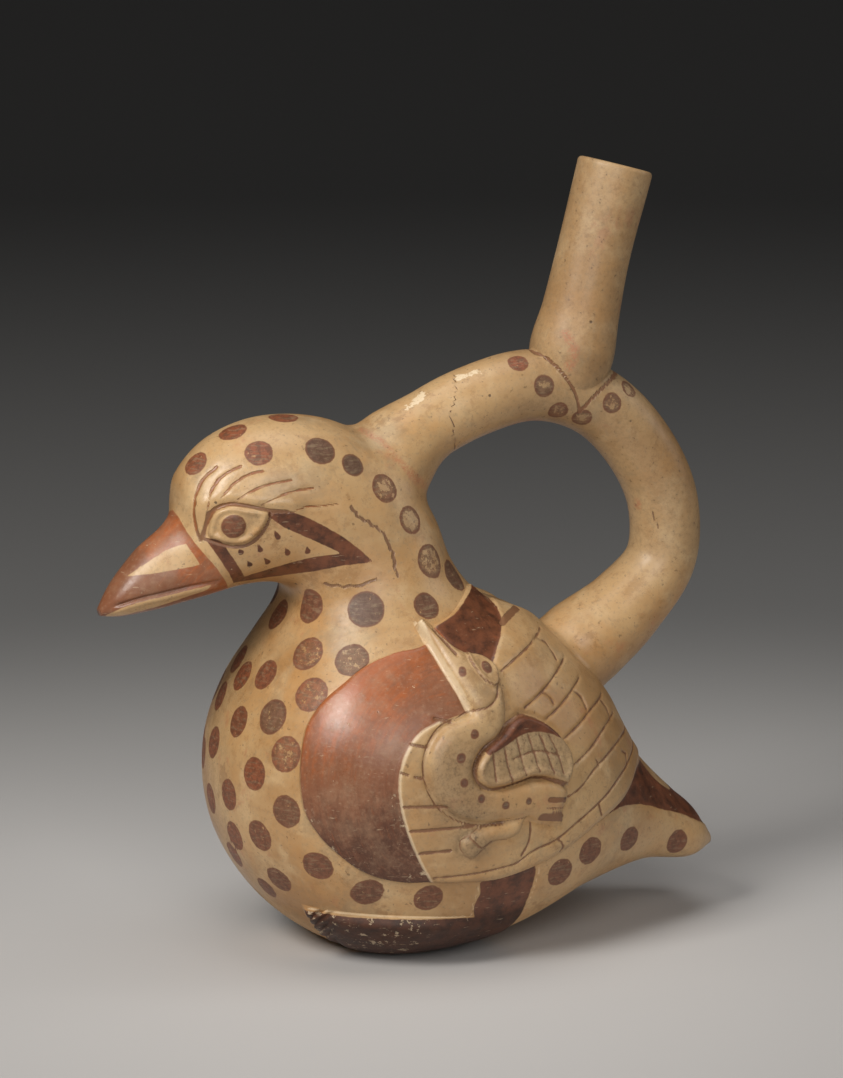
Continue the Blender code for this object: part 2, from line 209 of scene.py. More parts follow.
def ring_mesh(name: str, grid: np.ndarray) -> bpy.types.Object:
    """A closed mesh through a grid of rings with a flat cap at each end."""
    rings, sides = grid.shape[:2]
    number = np.arange(rings * sides).reshape(rings, sides)
    beside = np.roll(number, -1, axis=1)
    quads = np.stack([number[:-1], beside[:-1], beside[1:], number[1:]], axis=-1).reshape(-1, 4)
    middle = grid.reshape(-1, 3)[quads].mean(1)
    normal = np.cross(
        grid.reshape(-1, 3)[quads[:, 2]] - grid.reshape(-1, 3)[quads[:, 0]],
        grid.reshape(-1, 3)[quads[:, 3]] - grid.reshape(-1, 3)[quads[:, 1]],
    )
    inwards = (middle * normal).sum() < 0
    if inwards:
        quads = quads[:, ::-1]
    ends = [number[0][::-1].tolist(), number[-1].tolist()]
    if inwards:
        ends = [end[::-1] for end in ends]
    return new_mesh(name, grid.reshape(-1, 3), quads.tolist() + ends)


def mark(thing: bpy.types.Object, name: str, values: np.ndarray) -> None:
    """Writes one number for each point into the mesh as an attribute."""
    layer = thing.data.attributes.get(name) or thing.data.attributes.new(name, "FLOAT", "POINT")
    layer.data.foreach_set("value", np.asarray(values, np.float32))


def positions(thing: bpy.types.Object) -> np.ndarray:
    """The mesh's points in millimetres."""
    flat = np.empty(len(thing.data.vertices) * 3)
    thing.data.vertices.foreach_get("co", flat)
    return flat.reshape(-1, 3) / MM


def combine(thing: bpy.types.Object, operation: str, other: bpy.types.Object) -> None:
    """Joins the other object to the thing or cuts it out, and removes the other object.

    Args:
        thing: The object that keeps the result.
        operation: UNION or DIFFERENCE.
        other: The closed object that is used up.
    """
    step = thing.modifiers.new("combine", "BOOLEAN")
    step.operation = operation
    step.solver = "EXACT"
    step.object = other
    graph = bpy.context.evaluated_depsgraph_get()
    mesh = bpy.data.meshes.new_from_object(thing.evaluated_get(graph))
    thing.modifiers.clear()
    old, thing.data = thing.data, mesh
    bpy.data.meshes.remove(old)
    bpy.data.objects.remove(other)


# The bird's body, as one skin through named sections


@dataclass
class Skin:
    """The bird's skin: superellipse sections between an upper and a lower profile.

    Each section holds its upper (x, z), its lower (x, z), its half width, how far its widest line sags
    towards the lower profile, and its fullness, which is 2 for an ellipse and more for a box.
    """

    sections: tuple = (
        ((-105.6, 107.6), (-105.2, 105.2), 2.0, 0.00, 2.0),
        ((-102.5, 113.0), (-101.0, 104.8), 5.2, 0.05, 2.0),
        ((-94.5, 123.0), (-91.0, 105.8), 8.8, 0.15, 2.0),
        ((-83.0, 133.5), (-76.0, 108.8), 12.4, 0.20, 2.0),
        ((-80.5, 146.0), (-62.0, 111.8), 16.5, 0.10, 2.1),
        ((-69.6, 156.3), (-53.2, 112.0), 20.0, 0.05, 2.1),
        ((-54.5, 161.0), (-48.8, 110.6), 22.1, 0.00, 2.1),
        ((-34.0, 159.2), (-47.0, 108.4), 23.5, 0.00, 2.1),
        ((-14.5, 148.0), (-47.4, 104.8), 24.4, 0.00, 2.1),
        ((-2.8, 131.0), (-50.8, 99.0), 26.6, 0.00, 2.1),
        ((3.0, 116.5), (-57.0, 90.0), 31.9, 0.05, 2.1),
        ((11.4, 105.8), (-64.8, 76.0), 41.8, 0.08, 2.1),
        ((26.0, 98.6), (-69.9, 56.0), 51.7, 0.08, 2.1),
        ((39.4, 87.6), (-66.8, 33.3), 55.0, 0.08, 2.1),
        ((49.4, 75.8), (-51.5, 11.5), 54.5, 0.05, 2.1),
        ((56.0, 64.8), (-30.0, -0.8), 51.2, 0.05, 2.1),
        ((62.0, 55.2), (-1.0, -1.0), 44.0, 0.05, 2.1),
        ((69.3, 46.6), (30.0, 11.0), 34.1, 0.10, 2.2),
        ((77.4, 38.6), (60.0, 18.6), 24.5, 0.20, 2.4),
        ((85.0, 31.2), (80.0, 17.6), 18.0, 0.25, 2.5),
        ((88.2, 25.2), (87.4, 19.6), 12.1, 0.10, 2.4),
    )
    brow: int = 4
    tail_root: int = 17

    def keys(self) -> tuple[np.ndarray, np.ndarray]:
        """Each section's place along the skin in millimetres, and the sections as rows of numbers."""
        upper = np.array([row[0] for row in self.sections])
        lower = np.array([row[1] for row in self.sections])
        shape = np.array([row[2:] for row in self.sections])
        return (lengths(upper) + lengths(lower)) / 2, np.hstack([upper, lower, shape])

    def grid(self, places: np.ndarray, turns: np.ndarray, grow: float = 0.0, floor: float = 0.0) -> np.ndarray:
        """Points of the skin moved outwards by grow, one row for each place along it.

        A section runs from its upper point at turn 0 over the right side to its lower point at half a turn:
        height and width are the cosine and sine of the turn, raised to 2 over the fullness.

        Args:
            places: Places along the skin in millimetres.
            turns: Turns round each section in radians.
            grow: How far the section is moved out.
            floor: The height below which nothing lies.

        Returns:
            An array of places by turns by 3.
        """
        keys, values = self.keys()
        rows = spline(keys, values, places)
        upper, lower = rows[:, 0:2], rows[:, 2:4]
        half_width, sag, fullness = rows[:, 4:5], rows[:, 5:6], rows[:, 6:7]
        down = (lower - upper) / np.linalg.norm(lower - upper, axis=1)[:, None]
        upper = upper - down * grow
        lower = lower + down * grow
        turn = turns[None, :]
        rise = np.sign(np.cos(turn)) * np.abs(np.cos(turn)) ** (2 / fullness)
        across = np.sign(np.sin(turn)) * np.abs(np.sin(turn)) ** (2 / fullness)
        share = (1 - rise) / 2
        share = share + 2 * sag * share * (1 - share)
        x = upper[:, 0:1] + (lower - upper)[:, 0:1] * share
        z = upper[:, 1:2] + (lower - upper)[:, 1:2] * share
        y = (half_width + grow) * across
        return np.stack([x, y, np.maximum(z, floor)], axis=-1)

    def places(self, count: int) -> np.ndarray:
        """Places that lie close together on the beak, head and neck and wider apart on the body."""
        last = self.keys()[0][-1]
        fine = np.linspace(0.0, last, 4000)
        spacing = np.interp(fine, [0, 4, 128, 165, last - 10, last], [0.35, 0.55, 0.6, 1.5, 1.4, 0.6])
        share = np.concatenate([[0.0], np.cumsum(1 / spacing[1:])])
        return np.interp(np.linspace(0.0, share[-1], count), share, fine)

    def lifted(self, line: np.ndarray, proud: float = 0.0) -> np.ndarray:
        """Points of the side view laid onto the left side: each takes the y of the nearest skin point.

        Args:
            line: Rows of x and z.
            proud: How far off the skin they lie.

        Returns:
            Rows of x, y and z, with y below 0.
        """
        turns = np.linspace(math.pi, 2 * math.pi, 90)
        skin = self.grid(self.places(260), turns, grow=proud).reshape(-1, 3)
        gap = ((line[:, None, :] - skin[None, :, 0::2]) ** 2).sum(-1)
        return np.column_stack([line[:, 0], skin[gap.argmin(1), 1], line[:, 1]])


# Everything that is drawn, painted or raised on the skin


class Channel(Enum):
    """The layers of the painting, each an attribute of the mesh in millimetres, positive inside."""

    BROWN = "brown"
    RED = "red"
    SPOT = "spot"
    LINE = "fine_line"
    # Painted highlight: pale lines along ridges and ledges that catch the light.
    PAINTED_HIGHLIGHT = "pale"
    BLUSH = "blush"
    FLAKE = "flake"
    BARE = "bare"


@dataclass(frozen=True)
class Area:
    """A closed painted area in the side view."""

    channel: Channel
    parts: tuple[Line, ...]
    foot: bool = False
    over: bool = False


@dataclass(frozen=True)
class Stroke:
    """A painted or incised line with its width, in the side view or through points of x, y and z."""

    channel: Channel
    width: float
    points: tuple
    paired: bool = True
    warmth: float = 0.3
    y_share: float = 0.5


@dataclass(frozen=True)
class Spot:
    """A painted spot: centre, radius, how red it is, and whether the other side repeats it.

    With no y it lies on the skin of the left side.
    """

    x: float
    y: float | None
    z: float
    radius: float
    warmth: float = 0.3
    paired: bool = True
    worn: float = 0.0


CRESCENT_OUTER: Line = (
    (-21, 29.8), (-29, 30), (-36, 31.5), (-42, 34.3), (-47.4, 38.8), (-52.2, 44), (-55.8, 50.6), (-57, 59),
    (-56.2, 68), (-54, 75), (-49.4, 82), (-43, 87.6), (-36, 92), (-28, 95), (-18, 97.4), (-14, 101),
)
CRESCENT_INNER: Line = (
    (-21.6, 30), (-26.5, 38.5), (-30, 46.5), (-32, 54), (-32.5, 61.5), (-30.5, 68.5), (-26, 74), (-19, 77),
    (-10.5, 79),
)
SHOULDER_PATCH: Line = (
    (-14, 101), (-9, 102.5), (-5, 104), (-1, 106), (6, 108.5), (10.8, 104), (11.3, 102), (10, 99), (8, 97),
    (4.4, 94), (0.6, 90.3), (-4, 92.6), (-9, 94),
)
WING_EDGE: Line = (
    (61.5, 52.2), (54.7, 50.2), (48.8, 46.9), (42.5, 43.8), (35.4, 41.2), (28, 37.8), (21.2, 34.6),
    (13.2, 32), (5.5, 29.9), (-2, 28.6), (-9.2, 28.6), (-21, 29.6), (-29, 29.8), (-36, 31.3), (-42, 34.1),
    (-47.6, 38.6), (-52.5, 43.8), (-56.2, 50.4), (-57.4, 59), (-56.4, 68), (-54.3, 75), (-49.2, 82.2),
    (-43, 87.4), (-36, 92.4), (-28, 95.4), (-18, 97.4), (-14, 101.4), (-9, 103), (-5, 104.6), (-1, 106.6),
    (6, 109), (14, 108), (22, 102), (27, 97.5), (32, 91), (38, 84.5), (45, 78.5), (51, 72), (58, 64),
    (62.5, 57.5),
)
FEATHER_EDGE: Line = (
    (60, 53.5), (54.7, 51.6), (48.8, 48.3), (42.5, 45.2), (35.4, 42.6), (28, 39.2), (21.2, 36), (13.2, 33.4),
    (5.5, 31.3), (-2, 29.8), (-9.2, 29.6), (-21.3, 30.6), (-26.5, 38.5), (-30, 46.5), (-32, 54),
    (-32.5, 61.5), (-30.5, 68.5), (-26, 74), (-19, 77), (-10.5, 79), (0.6, 90.3), (4.4, 94), (8, 97),
    (10, 99), (11.3, 102), (13, 107), (21, 102), (26, 97), (31, 90), (37, 83.5), (44, 77.5), (50, 71),
    (57, 63), (61, 57.5),
)
SMALL_BIRD: Line = (
    (-20, 103.5), (-17.8, 103.2), (-13.8, 98.6), (-9.2, 94.3), (-6.5, 93.2), (-1.8, 91.6), (0.8, 89.4),
    (1, 85.2), (1.3, 81.4), (0.8, 76.5), (-0.4, 73.4), (-2.7, 70.7), (-6.8, 69), (-10, 65.4), (-10.6, 62),
    (-9.3, 59.3), (-3, 57.5), (8, 58), (19.7, 54.6), (20.5, 52.5), (20, 50), (18.5, 47.4), (18.5, 44),
    (11.8, 45), (6.2, 47), (0.8, 46.9), (-8.3, 47.6), (-15.6, 49.7), (-21.3, 54.3), (-24.3, 60.6),
    (-24.7, 66.6), (-22.6, 71.7), (-18.7, 75.3), (-14, 76.8), (-10.3, 78), (-12, 83.5), (-14.6, 89.6),
    (-17.3, 96.8),
)
SMALL_WING: Line = (
    (-9.3, 66), (-6.8, 68.6), (-1.8, 71.8), (2.8, 75.2), (6.2, 76), (10.3, 74.6), (15, 71.8), (19.6, 67.2),
    (22, 63.5), (22.4, 59), (19.7, 54.7), (13, 57.4), (8.2, 58.5), (3.3, 57.8), (-3, 57), (-7.5, 57.4),
    (-9.9, 59.3), (-10.8, 62.8),
)
SMALL_LEG: Line = (
    (6, 47.6), (5, 46), (4, 43.2), (0, 41.6), (-4.4, 41.4), (-8, 39), (-10.4, 36.8), (-14.4, 40),
    (-14.8, 42), (-12, 44.6), (-7.5, 46), (-2, 47),
)
SMALL_EYE: Line = (
    (-7.4, 93), (-2, 91.3), (0, 88.8), (0, 86.4), (-1.8, 84.2), (-4.3, 85), (-6.6, 87.7), (-7.8, 90.5),
)
EYE: Line = (
    (-75.9, 129.3), (-75.8, 132.8), (-74.6, 136), (-70, 138.2), (-66, 137.5), (-60.2, 136), (-61, 133.4),
    (-63.4, 129.6), (-66.4, 127.5), (-69.7, 127.2), (-73.6, 128.2),
)
FOOT: Line = (
    (-60, 19.8), (-50, 19.2), (-38, 18.6), (-28, 18.2), (-16, 17.4), (0, 15.8), (10, 13), (11, 4), (8, -3),
    (-60, -3),
)
LEG: tuple[Line, ...] = (
    ((-6.6, 28.4), (-1, 28.8), (5.5, 30), (12, 31.2)),
    ((12, 31.2), (11.6, 25), (10.9, 19), (10.6, 11.5), (9, 3), (8, -3)),
    ((8, -3), (-60, -3)),
    ((-60, -3), (-60, 18)),
    ((-60, 18), (-50, 17.4), (-28, 16.8), (-6, 16)),
    ((-6, 16), (-7, 20.4), (-6, 23.8), (-6.6, 28.4)),
)
TAIL_TOP: Line = (
    (63, 57), (61.6, 52.4), (54.7, 50.4), (48.8, 47), (42.5, 43.8), (35.4, 41.6), (33, 40.8), (38, 41.6),
    (45.5, 42.6), (51, 41.9), (57.6, 40), (65, 36.9), (74.5, 33.2), (81, 29.8), (87.5, 26.6), (93, 24),
    (93, 40), (75, 56),
)
BEAK_FRONT: Line = ((-69, 105), (-91, 101), (-110, 101), (-110, 114), (-90, 136), (-83.2, 139), (-82.4, 134.4))
BEAK_BASE: Line = ((-82.4, 134.4), (-81, 129.8), (-79, 126.2), (-74.2, 120), (-69.2, 113.4), (-67.4, 110.8), (-69, 105))
BEAK_PANEL: tuple[Line, ...] = (
    ((-98, 117.3), (-94.4, 120), (-91, 122.2), (-86.4, 125), (-81.8, 126.6)),
    ((-81.8, 126.6), (-78.4, 120.7)),
    ((-78.4, 120.7), (-85, 119.4), (-92, 118.3), (-98, 117.3)),
)
MOUTH: Line = ((-105, 108.2), (-102, 108.9), (-97.6, 110.4), (-86.9, 112.8), (-80, 114.2), (-73.5, 115))
MANDIBLE: tuple[Line, ...] = (
    ((-103.8, 105.9), (-101.6, 107.6), (-97.6, 109.3), (-87, 111.8), (-80, 113.3), (-74.6, 114.3)),
    ((-74.6, 114.3), (-75.5, 113.2), (-81, 111), (-88, 108.6), (-96, 106.4), (-101, 105.3), (-103.8, 105.2)),
)
FACE_UPPER: tuple[Line, ...] = (
    ((-60.9, 136.4), (-57, 136.8), (-54.7, 136.5), (-49.5, 134.6), (-44, 131.6), (-38.2, 128), (-33.4, 124.2),
     (-29.2, 120.2)),
    ((-29.2, 120.2), (-38, 123), (-44, 126), (-50.2, 129), (-55.5, 131.7), (-60.2, 135)),
)
FACE_LOWER: tuple[Line, ...] = (
    ((-66, 115.7), (-57, 118.7), (-50.2, 120.9), (-45.2, 122.2), (-38, 123.1)),
    ((-29.2, 120.2), (-38, 119.3), (-46, 117.2), (-54, 115.5), (-60, 114.8), (-67, 114.2)),
)
FACE_BAR: tuple[Line, ...] = (
    ((-77.3, 128.6), (-73.8, 128.2), (-70, 123.4), (-65, 116.4), (-64, 115)),
    ((-67.4, 114.1), (-72, 120.6), (-77.3, 128.6)),
)
SMALL_SHOULDER: Line = (
    (-7.6, 68), (-4.4, 70.2), (-1.8, 71.8), (2.8, 75.2), (6.2, 76.2), (10.3, 74.8), (15, 72), (19.4, 68),
    (18, 67.6), (14.6, 69.1), (9.6, 70.6), (4.6, 70.6), (-2, 68.2), (-7, 66.6),
)

AREAS: tuple[Area, ...] = (
    Area(Channel.RED, (CRESCENT_OUTER, ((-10, 96), (-10.4, 79)), CRESCENT_INNER[::-1])),
    Area(Channel.BROWN, (SHOULDER_PATCH[:5], SHOULDER_PATCH[4:11], SHOULDER_PATCH[11:])),
    Area(Channel.BROWN, LEG, foot=True),
    Area(Channel.BROWN, (TAIL_TOP[:7], TAIL_TOP[6:15], TAIL_TOP[15:])),
    Area(Channel.BROWN, FACE_UPPER),
    Area(Channel.BROWN, FACE_LOWER),
    Area(Channel.BROWN, FACE_BAR),
    Area(Channel.RED, (BEAK_FRONT, BEAK_BASE)),
    Area(Channel.BARE, BEAK_PANEL),
    Area(Channel.BARE, MANDIBLE),
    Area(Channel.BARE, (SMALL_BIRD,)),
    Area(Channel.BROWN, (SMALL_SHOULDER,), over=True),
)
FEATHERS: tuple[Line, ...] = (
    ((23.8, 94.8), (17.7, 93), (11, 91), (2.5, 88)),
    ((20, 93.7), (23.4, 91), (25, 87)),
    ((29, 86.6), (23, 84), (16.5, 81), (8.3, 77.6)),
    ((16, 80.4), (18.6, 78.4), (19.5, 76.7)),
    ((33, 80.6), (26.7, 78), (21.7, 75.7), (15.4, 73.3)),
    ((29, 78), (31.7, 75.5), (32.4, 72.8)),
    ((42, 74), (34, 72), (27.8, 69.5), (21.4, 67)),
    ((40.6, 72.7), (42.6, 70), (43.2, 67.4)),
    ((46, 68.4), (39, 66.4), (31, 62.4), (22.8, 58.8)),
    ((33, 59), (34.2, 57)),
    ((54.7, 61.6), (45.2, 61.2), (38, 59), (31, 56), (26, 52.6), (21.2, 50.7)),
    ((46, 58), (48, 56.3), (47.7, 54.5)),
    ((58, 56.8), (50.3, 55), (43, 52), (36, 48.2), (30, 45.4), (23.6, 42.4), (17, 39), (8.2, 36.4),
     (4.4, 34), (-2.3, 32.8), (-9.6, 32), (-21.5, 31.7)),
    ((33, 46), (34, 43)),
    ((17.3, 39), (19.5, 36.8), (19, 35)),
    ((7.8, 45.3), (7.2, 39.4), (5, 35.8)),
)
BARS: tuple[Line, ...] = (
    ((-21, 78), (-16.6, 76.7)),
    ((-28.7, 71.4), (-24.4, 70.4)),
    ((-32, 63.7), (-30.3, 63)),
    ((-28.3, 62.4), (-26.3, 61.8)),
    ((-31.4, 53.8), (-19.5, 53.2)),
    ((-29.3, 46.6), (-10.5, 46.6)),
    ((-26.3, 39.7), (-17.4, 39.9)),
)
SMALL_FEATHERS: tuple[Line, ...] = (
    ((-5.6, 67.4), (-5, 63), (-4.8, 59)),
    ((-1.6, 68.4), (-0.8, 63), (0.4, 58.6)),
    ((2.6, 70), (3.8, 64.4), (5, 59.4)),
    ((6.6, 70.4), (8.2, 65), (9.6, 59.6)),
    ((10.4, 70), (12.6, 64.6), (14.4, 58.6)),
    ((13.8, 69), (16.4, 63.8), (18, 57.8)),
    ((1, 64.6), (9, 65.6), (17, 63)),
)
BROW_LINES: tuple[Line, ...] = (
    ((-72.5, 149), (-76.3, 145.5), (-78.7, 141), (-79.4, 135.7), (-79, 131), (-78.3, 127.7)),
    ((-66.4, 149.4), (-70.4, 147.4), (-74.2, 143.7), (-75.8, 140), (-76.6, 134.6), (-77, 129.3)),
    ((-60.4, 148), (-64.4, 147.2), (-68.4, 145), (-72.7, 140.7)),
    ((-52.8, 145.3), (-60.4, 144), (-65, 142.2), (-68.6, 140)),
    ((-46.5, 142.8), (-52, 142.2), (-57.5, 140.6), (-62, 138.4)),
    ((-39.6, 137.8), (-44.7, 137.5), (-49.5, 137.4), (-53.6, 136)),
)
LID: Line = (
    (-77.8, 128.6), (-76.9, 132), (-76, 135), (-74.5, 137.3), (-71, 138.7), (-66.8, 138.3), (-60.8, 136.9),
    (-54.7, 136.3),
)
NAPE_LINE: Line = (
    (-35.6, 137), (-35.2, 135.6), (-34, 135.2), (-34.2, 133.8), (-32.6, 133.6), (-31.8, 132.2), (-30.4, 132.4),
    (-29.2, 130.6), (-27.8, 130.4), (-26.8, 128.8), (-25.4, 128.4), (-25.2, 126.4), (-24.1, 125.6),
    (-24.3, 123.8), (-23, 123), (-23.4, 121.2), (-22.6, 120), (-23.2, 118.6), (-22.6, 117.2), (-22.3, 115.6),
)
CHEEK_LINE: Line = (
    (-42, 113.6), (-40.6, 113), (-39.4, 113.5), (-37.8, 112.8), (-36, 113.5), (-34, 113.2), (-31.6, 114.2), (-28.8, 115.3),
)
LOWER_LID: Line = ((-77.6, 128.4), (-73.6, 127), (-69.7, 126), (-66, 126.3), (-62.8, 128.6), (-60.6, 132.2), (-59.4, 135.6))
NECK_EDGE: Line = (
    (-9.7, 79.4), (-14, 78), (-19.2, 76.4), (-23.4, 72.4), (-25.8, 66.8), (-25.4, 60.4), (-22.2, 53.6),
    (-16, 48.8), (-8.3, 46.6), (-1.8, 46.4),
)
SEAM_FRONT = ((30.5, 0.0, 176.2), (33.7, -6.1, 174.6), (37.6, -10, 170), (41, -10.9, 164.8), (43.4, -10.3, 158.2))
SEAM_BACK = ((58.6, 0.0, 168.6), (54.6, -7.0, 167.2), (50.6, -9.8, 165.0), (46.8, -10.2, 162.2), (43.4, -10.3, 158.2))
CRACK = (
    (5.2, -2.4, 170.2), (4.4, -5, 168.4), (4.4, -6.6, 167.2), (3.4, -8, 165.6), (2.6, -9, 163), (1.4, -9.8, 161.4),
    (0.9, -10.4, 159.4), (2.1, -10.7, 156.2), (1.8, -9.8, 154.2), (3, -8.6, 151.8), (4.1, -6.5, 148.8),
)

STROKES: tuple[Stroke, ...] = (
    *(Stroke(Channel.LINE, 0.75, line) for line in FEATHERS),
    *(Stroke(Channel.LINE, 1.05, line) for line in BARS),
    *(Stroke(Channel.LINE, 0.7, line) for line in SMALL_FEATHERS),
    *(Stroke(Channel.LINE, 0.8, line, warmth=1.0) for line in BROW_LINES),
    Stroke(Channel.LINE, 1.3, LID),
    Stroke(Channel.LINE, 1.1, LOWER_LID),
    Stroke(Channel.LINE, 1.0, NAPE_LINE, warmth=0.1),
    Stroke(Channel.LINE, 1.0, CHEEK_LINE, warmth=0.1),
    Stroke(Channel.LINE, 0.9, SMALL_WING[-3:] + SMALL_WING[:12]),
    Stroke(Channel.LINE, 0.9, SMALL_WING[10:]),
    Stroke(Channel.LINE, 0.7, ((-1.2, 84.2), (-2.7, 81.3), (-5.4, 79.4), (-9.7, 79))),
    Stroke(Channel.LINE, 0.6, NECK_EDGE),
    Stroke(Channel.LINE, 0.5, ((0.9, 89.4), (1.2, 85.2), (1.5, 81.4), (0.9, 76.4), (-0.4, 73.2), (-3, 70.4))),
    Stroke(Channel.LINE, 0.6, SMALL_EYE + SMALL_EYE[:1]),
    Stroke(Channel.LINE, 0.9, ((-15.8, 99.6), (-13.8, 96.4), (-11.4, 92.4))),
    Stroke(Channel.LINE, 1.9, ((9.6, -28.3, 98.3), (13.9, -23.3, 99.2), (18.9, -16.9, 99.6))),
    Stroke(Channel.LINE, 1.2, ((8.9, -16.7, 104.1), (10.2, -17.5, 103))),
    Stroke(Channel.LINE, 0.6, ((11.4, 49.4), (18.8, 48.4))),
    Stroke(Channel.LINE, 0.6, ((13.4, 47.9), (18.8, 47.2))),
    Stroke(Channel.LINE, 1.6, ((12.6, 51.6), (19.6, 50.4))),
    Stroke(Channel.LINE, 2.4, ((10.6, 46.9), (18.2, 45.6))),
    Stroke(Channel.LINE, 0.8, ((-12, 43.4), (-8.2, 40.4), (-5.4, 41.8))),
    Stroke(Channel.LINE, 0.5, SMALL_LEG[3:] + SMALL_LEG[:1]),
    # Painted highlights: pale lines along the crescent's inner ridge, the small bird's neck, the foot's top edge and
    # the band's ends.
    Stroke(Channel.PAINTED_HIGHLIGHT, 0.8, ((-21.4, 29.6), (-26.5, 38.5), (-30, 46.5), (-32, 54), (-32.5, 61.5),
                               (-30.5, 68.5), (-26, 74), (-19, 77.2))),
    Stroke(Channel.PAINTED_HIGHLIGHT, 1.5, ((-19.2, 102.6), (-17.6, 97), (-14.9, 90), (-12.4, 84), (-10.8, 79.4))),
    Stroke(Channel.PAINTED_HIGHLIGHT, 0.6, ((-50, 18.2), (-40, 18), (-28, 17.5), (-7, 16.7)), y_share=0.0),
    Stroke(Channel.PAINTED_HIGHLIGHT, 0.9, ((-6.8, 17), (-7.6, 20.4), (-6.8, 23.8), (-7.4, 27.4)), y_share=0.0),
    Stroke(Channel.PAINTED_HIGHLIGHT, 0.9, ((11.3, 11.5), (11.7, 19), (12.4, 25), (13, 30.5)), y_share=0.0),
    Stroke(Channel.FLAKE, 1.7, ((-11, -4.2, 161.4), (-7, -4.6, 163.8), (-4.6, -4.0, 165.6)), False),
    Stroke(Channel.FLAKE, 1.4, ((5.4, -4.4, 169.6), (9.6, -4.9, 170.9), (12.6, -5.4, 171.4)), False),
    Stroke(Channel.LINE, 1.1, SEAM_FRONT, y_share=0.0),
    Stroke(Channel.LINE, 1.5, SEAM_BACK, y_share=0.0),
    Stroke(Channel.LINE, 0.8, CRACK, False, 0.0, 0.1),
    Stroke(Channel.LINE, 0.9, ((68.6, -9.2, 125.6), (69.3, -9.6, 123.1), (70.4, -10, 120.6)), False, 0.0, 0.2),
    Stroke(Channel.BLUSH, 1.9, ((-25, -6, 156), (-21.4, -10.4, 153.7), (-16.8, -14.8, 147.5), (-7.7, -12.4, 139)),
           y_share=0.3),
    Stroke(Channel.BLUSH, 3.0, ((-13.6, -14, 144), (-10, -13, 140.6)), False, y_share=0.3),
    Stroke(Channel.BLUSH, 2.6, ((39, -10.6, 172), (40.4, -10.6, 176), (38.6, -10.4, 182)), False, y_share=0.2),
    Stroke(Channel.BLUSH, 1.5, ((22, -3.5, 153.6), (27, -3.8, 155.2), (33, -3.6, 155)), False, y_share=0.3),
    Stroke(Channel.BLUSH, 1.6, ((66, -3, 132), (65.4, -4, 127)), False),
    Stroke(Channel.BARE, 5.4, ((62.0, -11, 50.8), (65.4, -12, 46.8), (68.3, -11.5, 44), (71.6, -9.5, 41.2))),
    Stroke(Channel.BARE, 5.4, ((63.2, -3, 51.8), (66.6, -3, 48), (70, -3, 44.6), (72.8, -3, 42))),
    Stroke(Channel.LINE, 0.5, ((61, -16.4, 50.2), (64.2, -17.6, 46.2), (68.2, -17, 42.8), (73.2, -13.5, 39.2))),
)
TEARS: tuple[Line, ...] = (
    ((-58.6, 131.2), (-57.1, 128.6)),
    ((-62.8, 126.9), (-61.8, 124.9)),
    ((-54.6, 125.2), (-53.7, 123.6)),
    ((-48.4, 125.4), (-48, 123.9)),
    ((-68.2, 125.4), (-67.3, 124.3)),
    ((-60.2, 122.1), (-59, 120.8)),
    ((-65.0, 121.6), (-64.1, 120.2)),
)
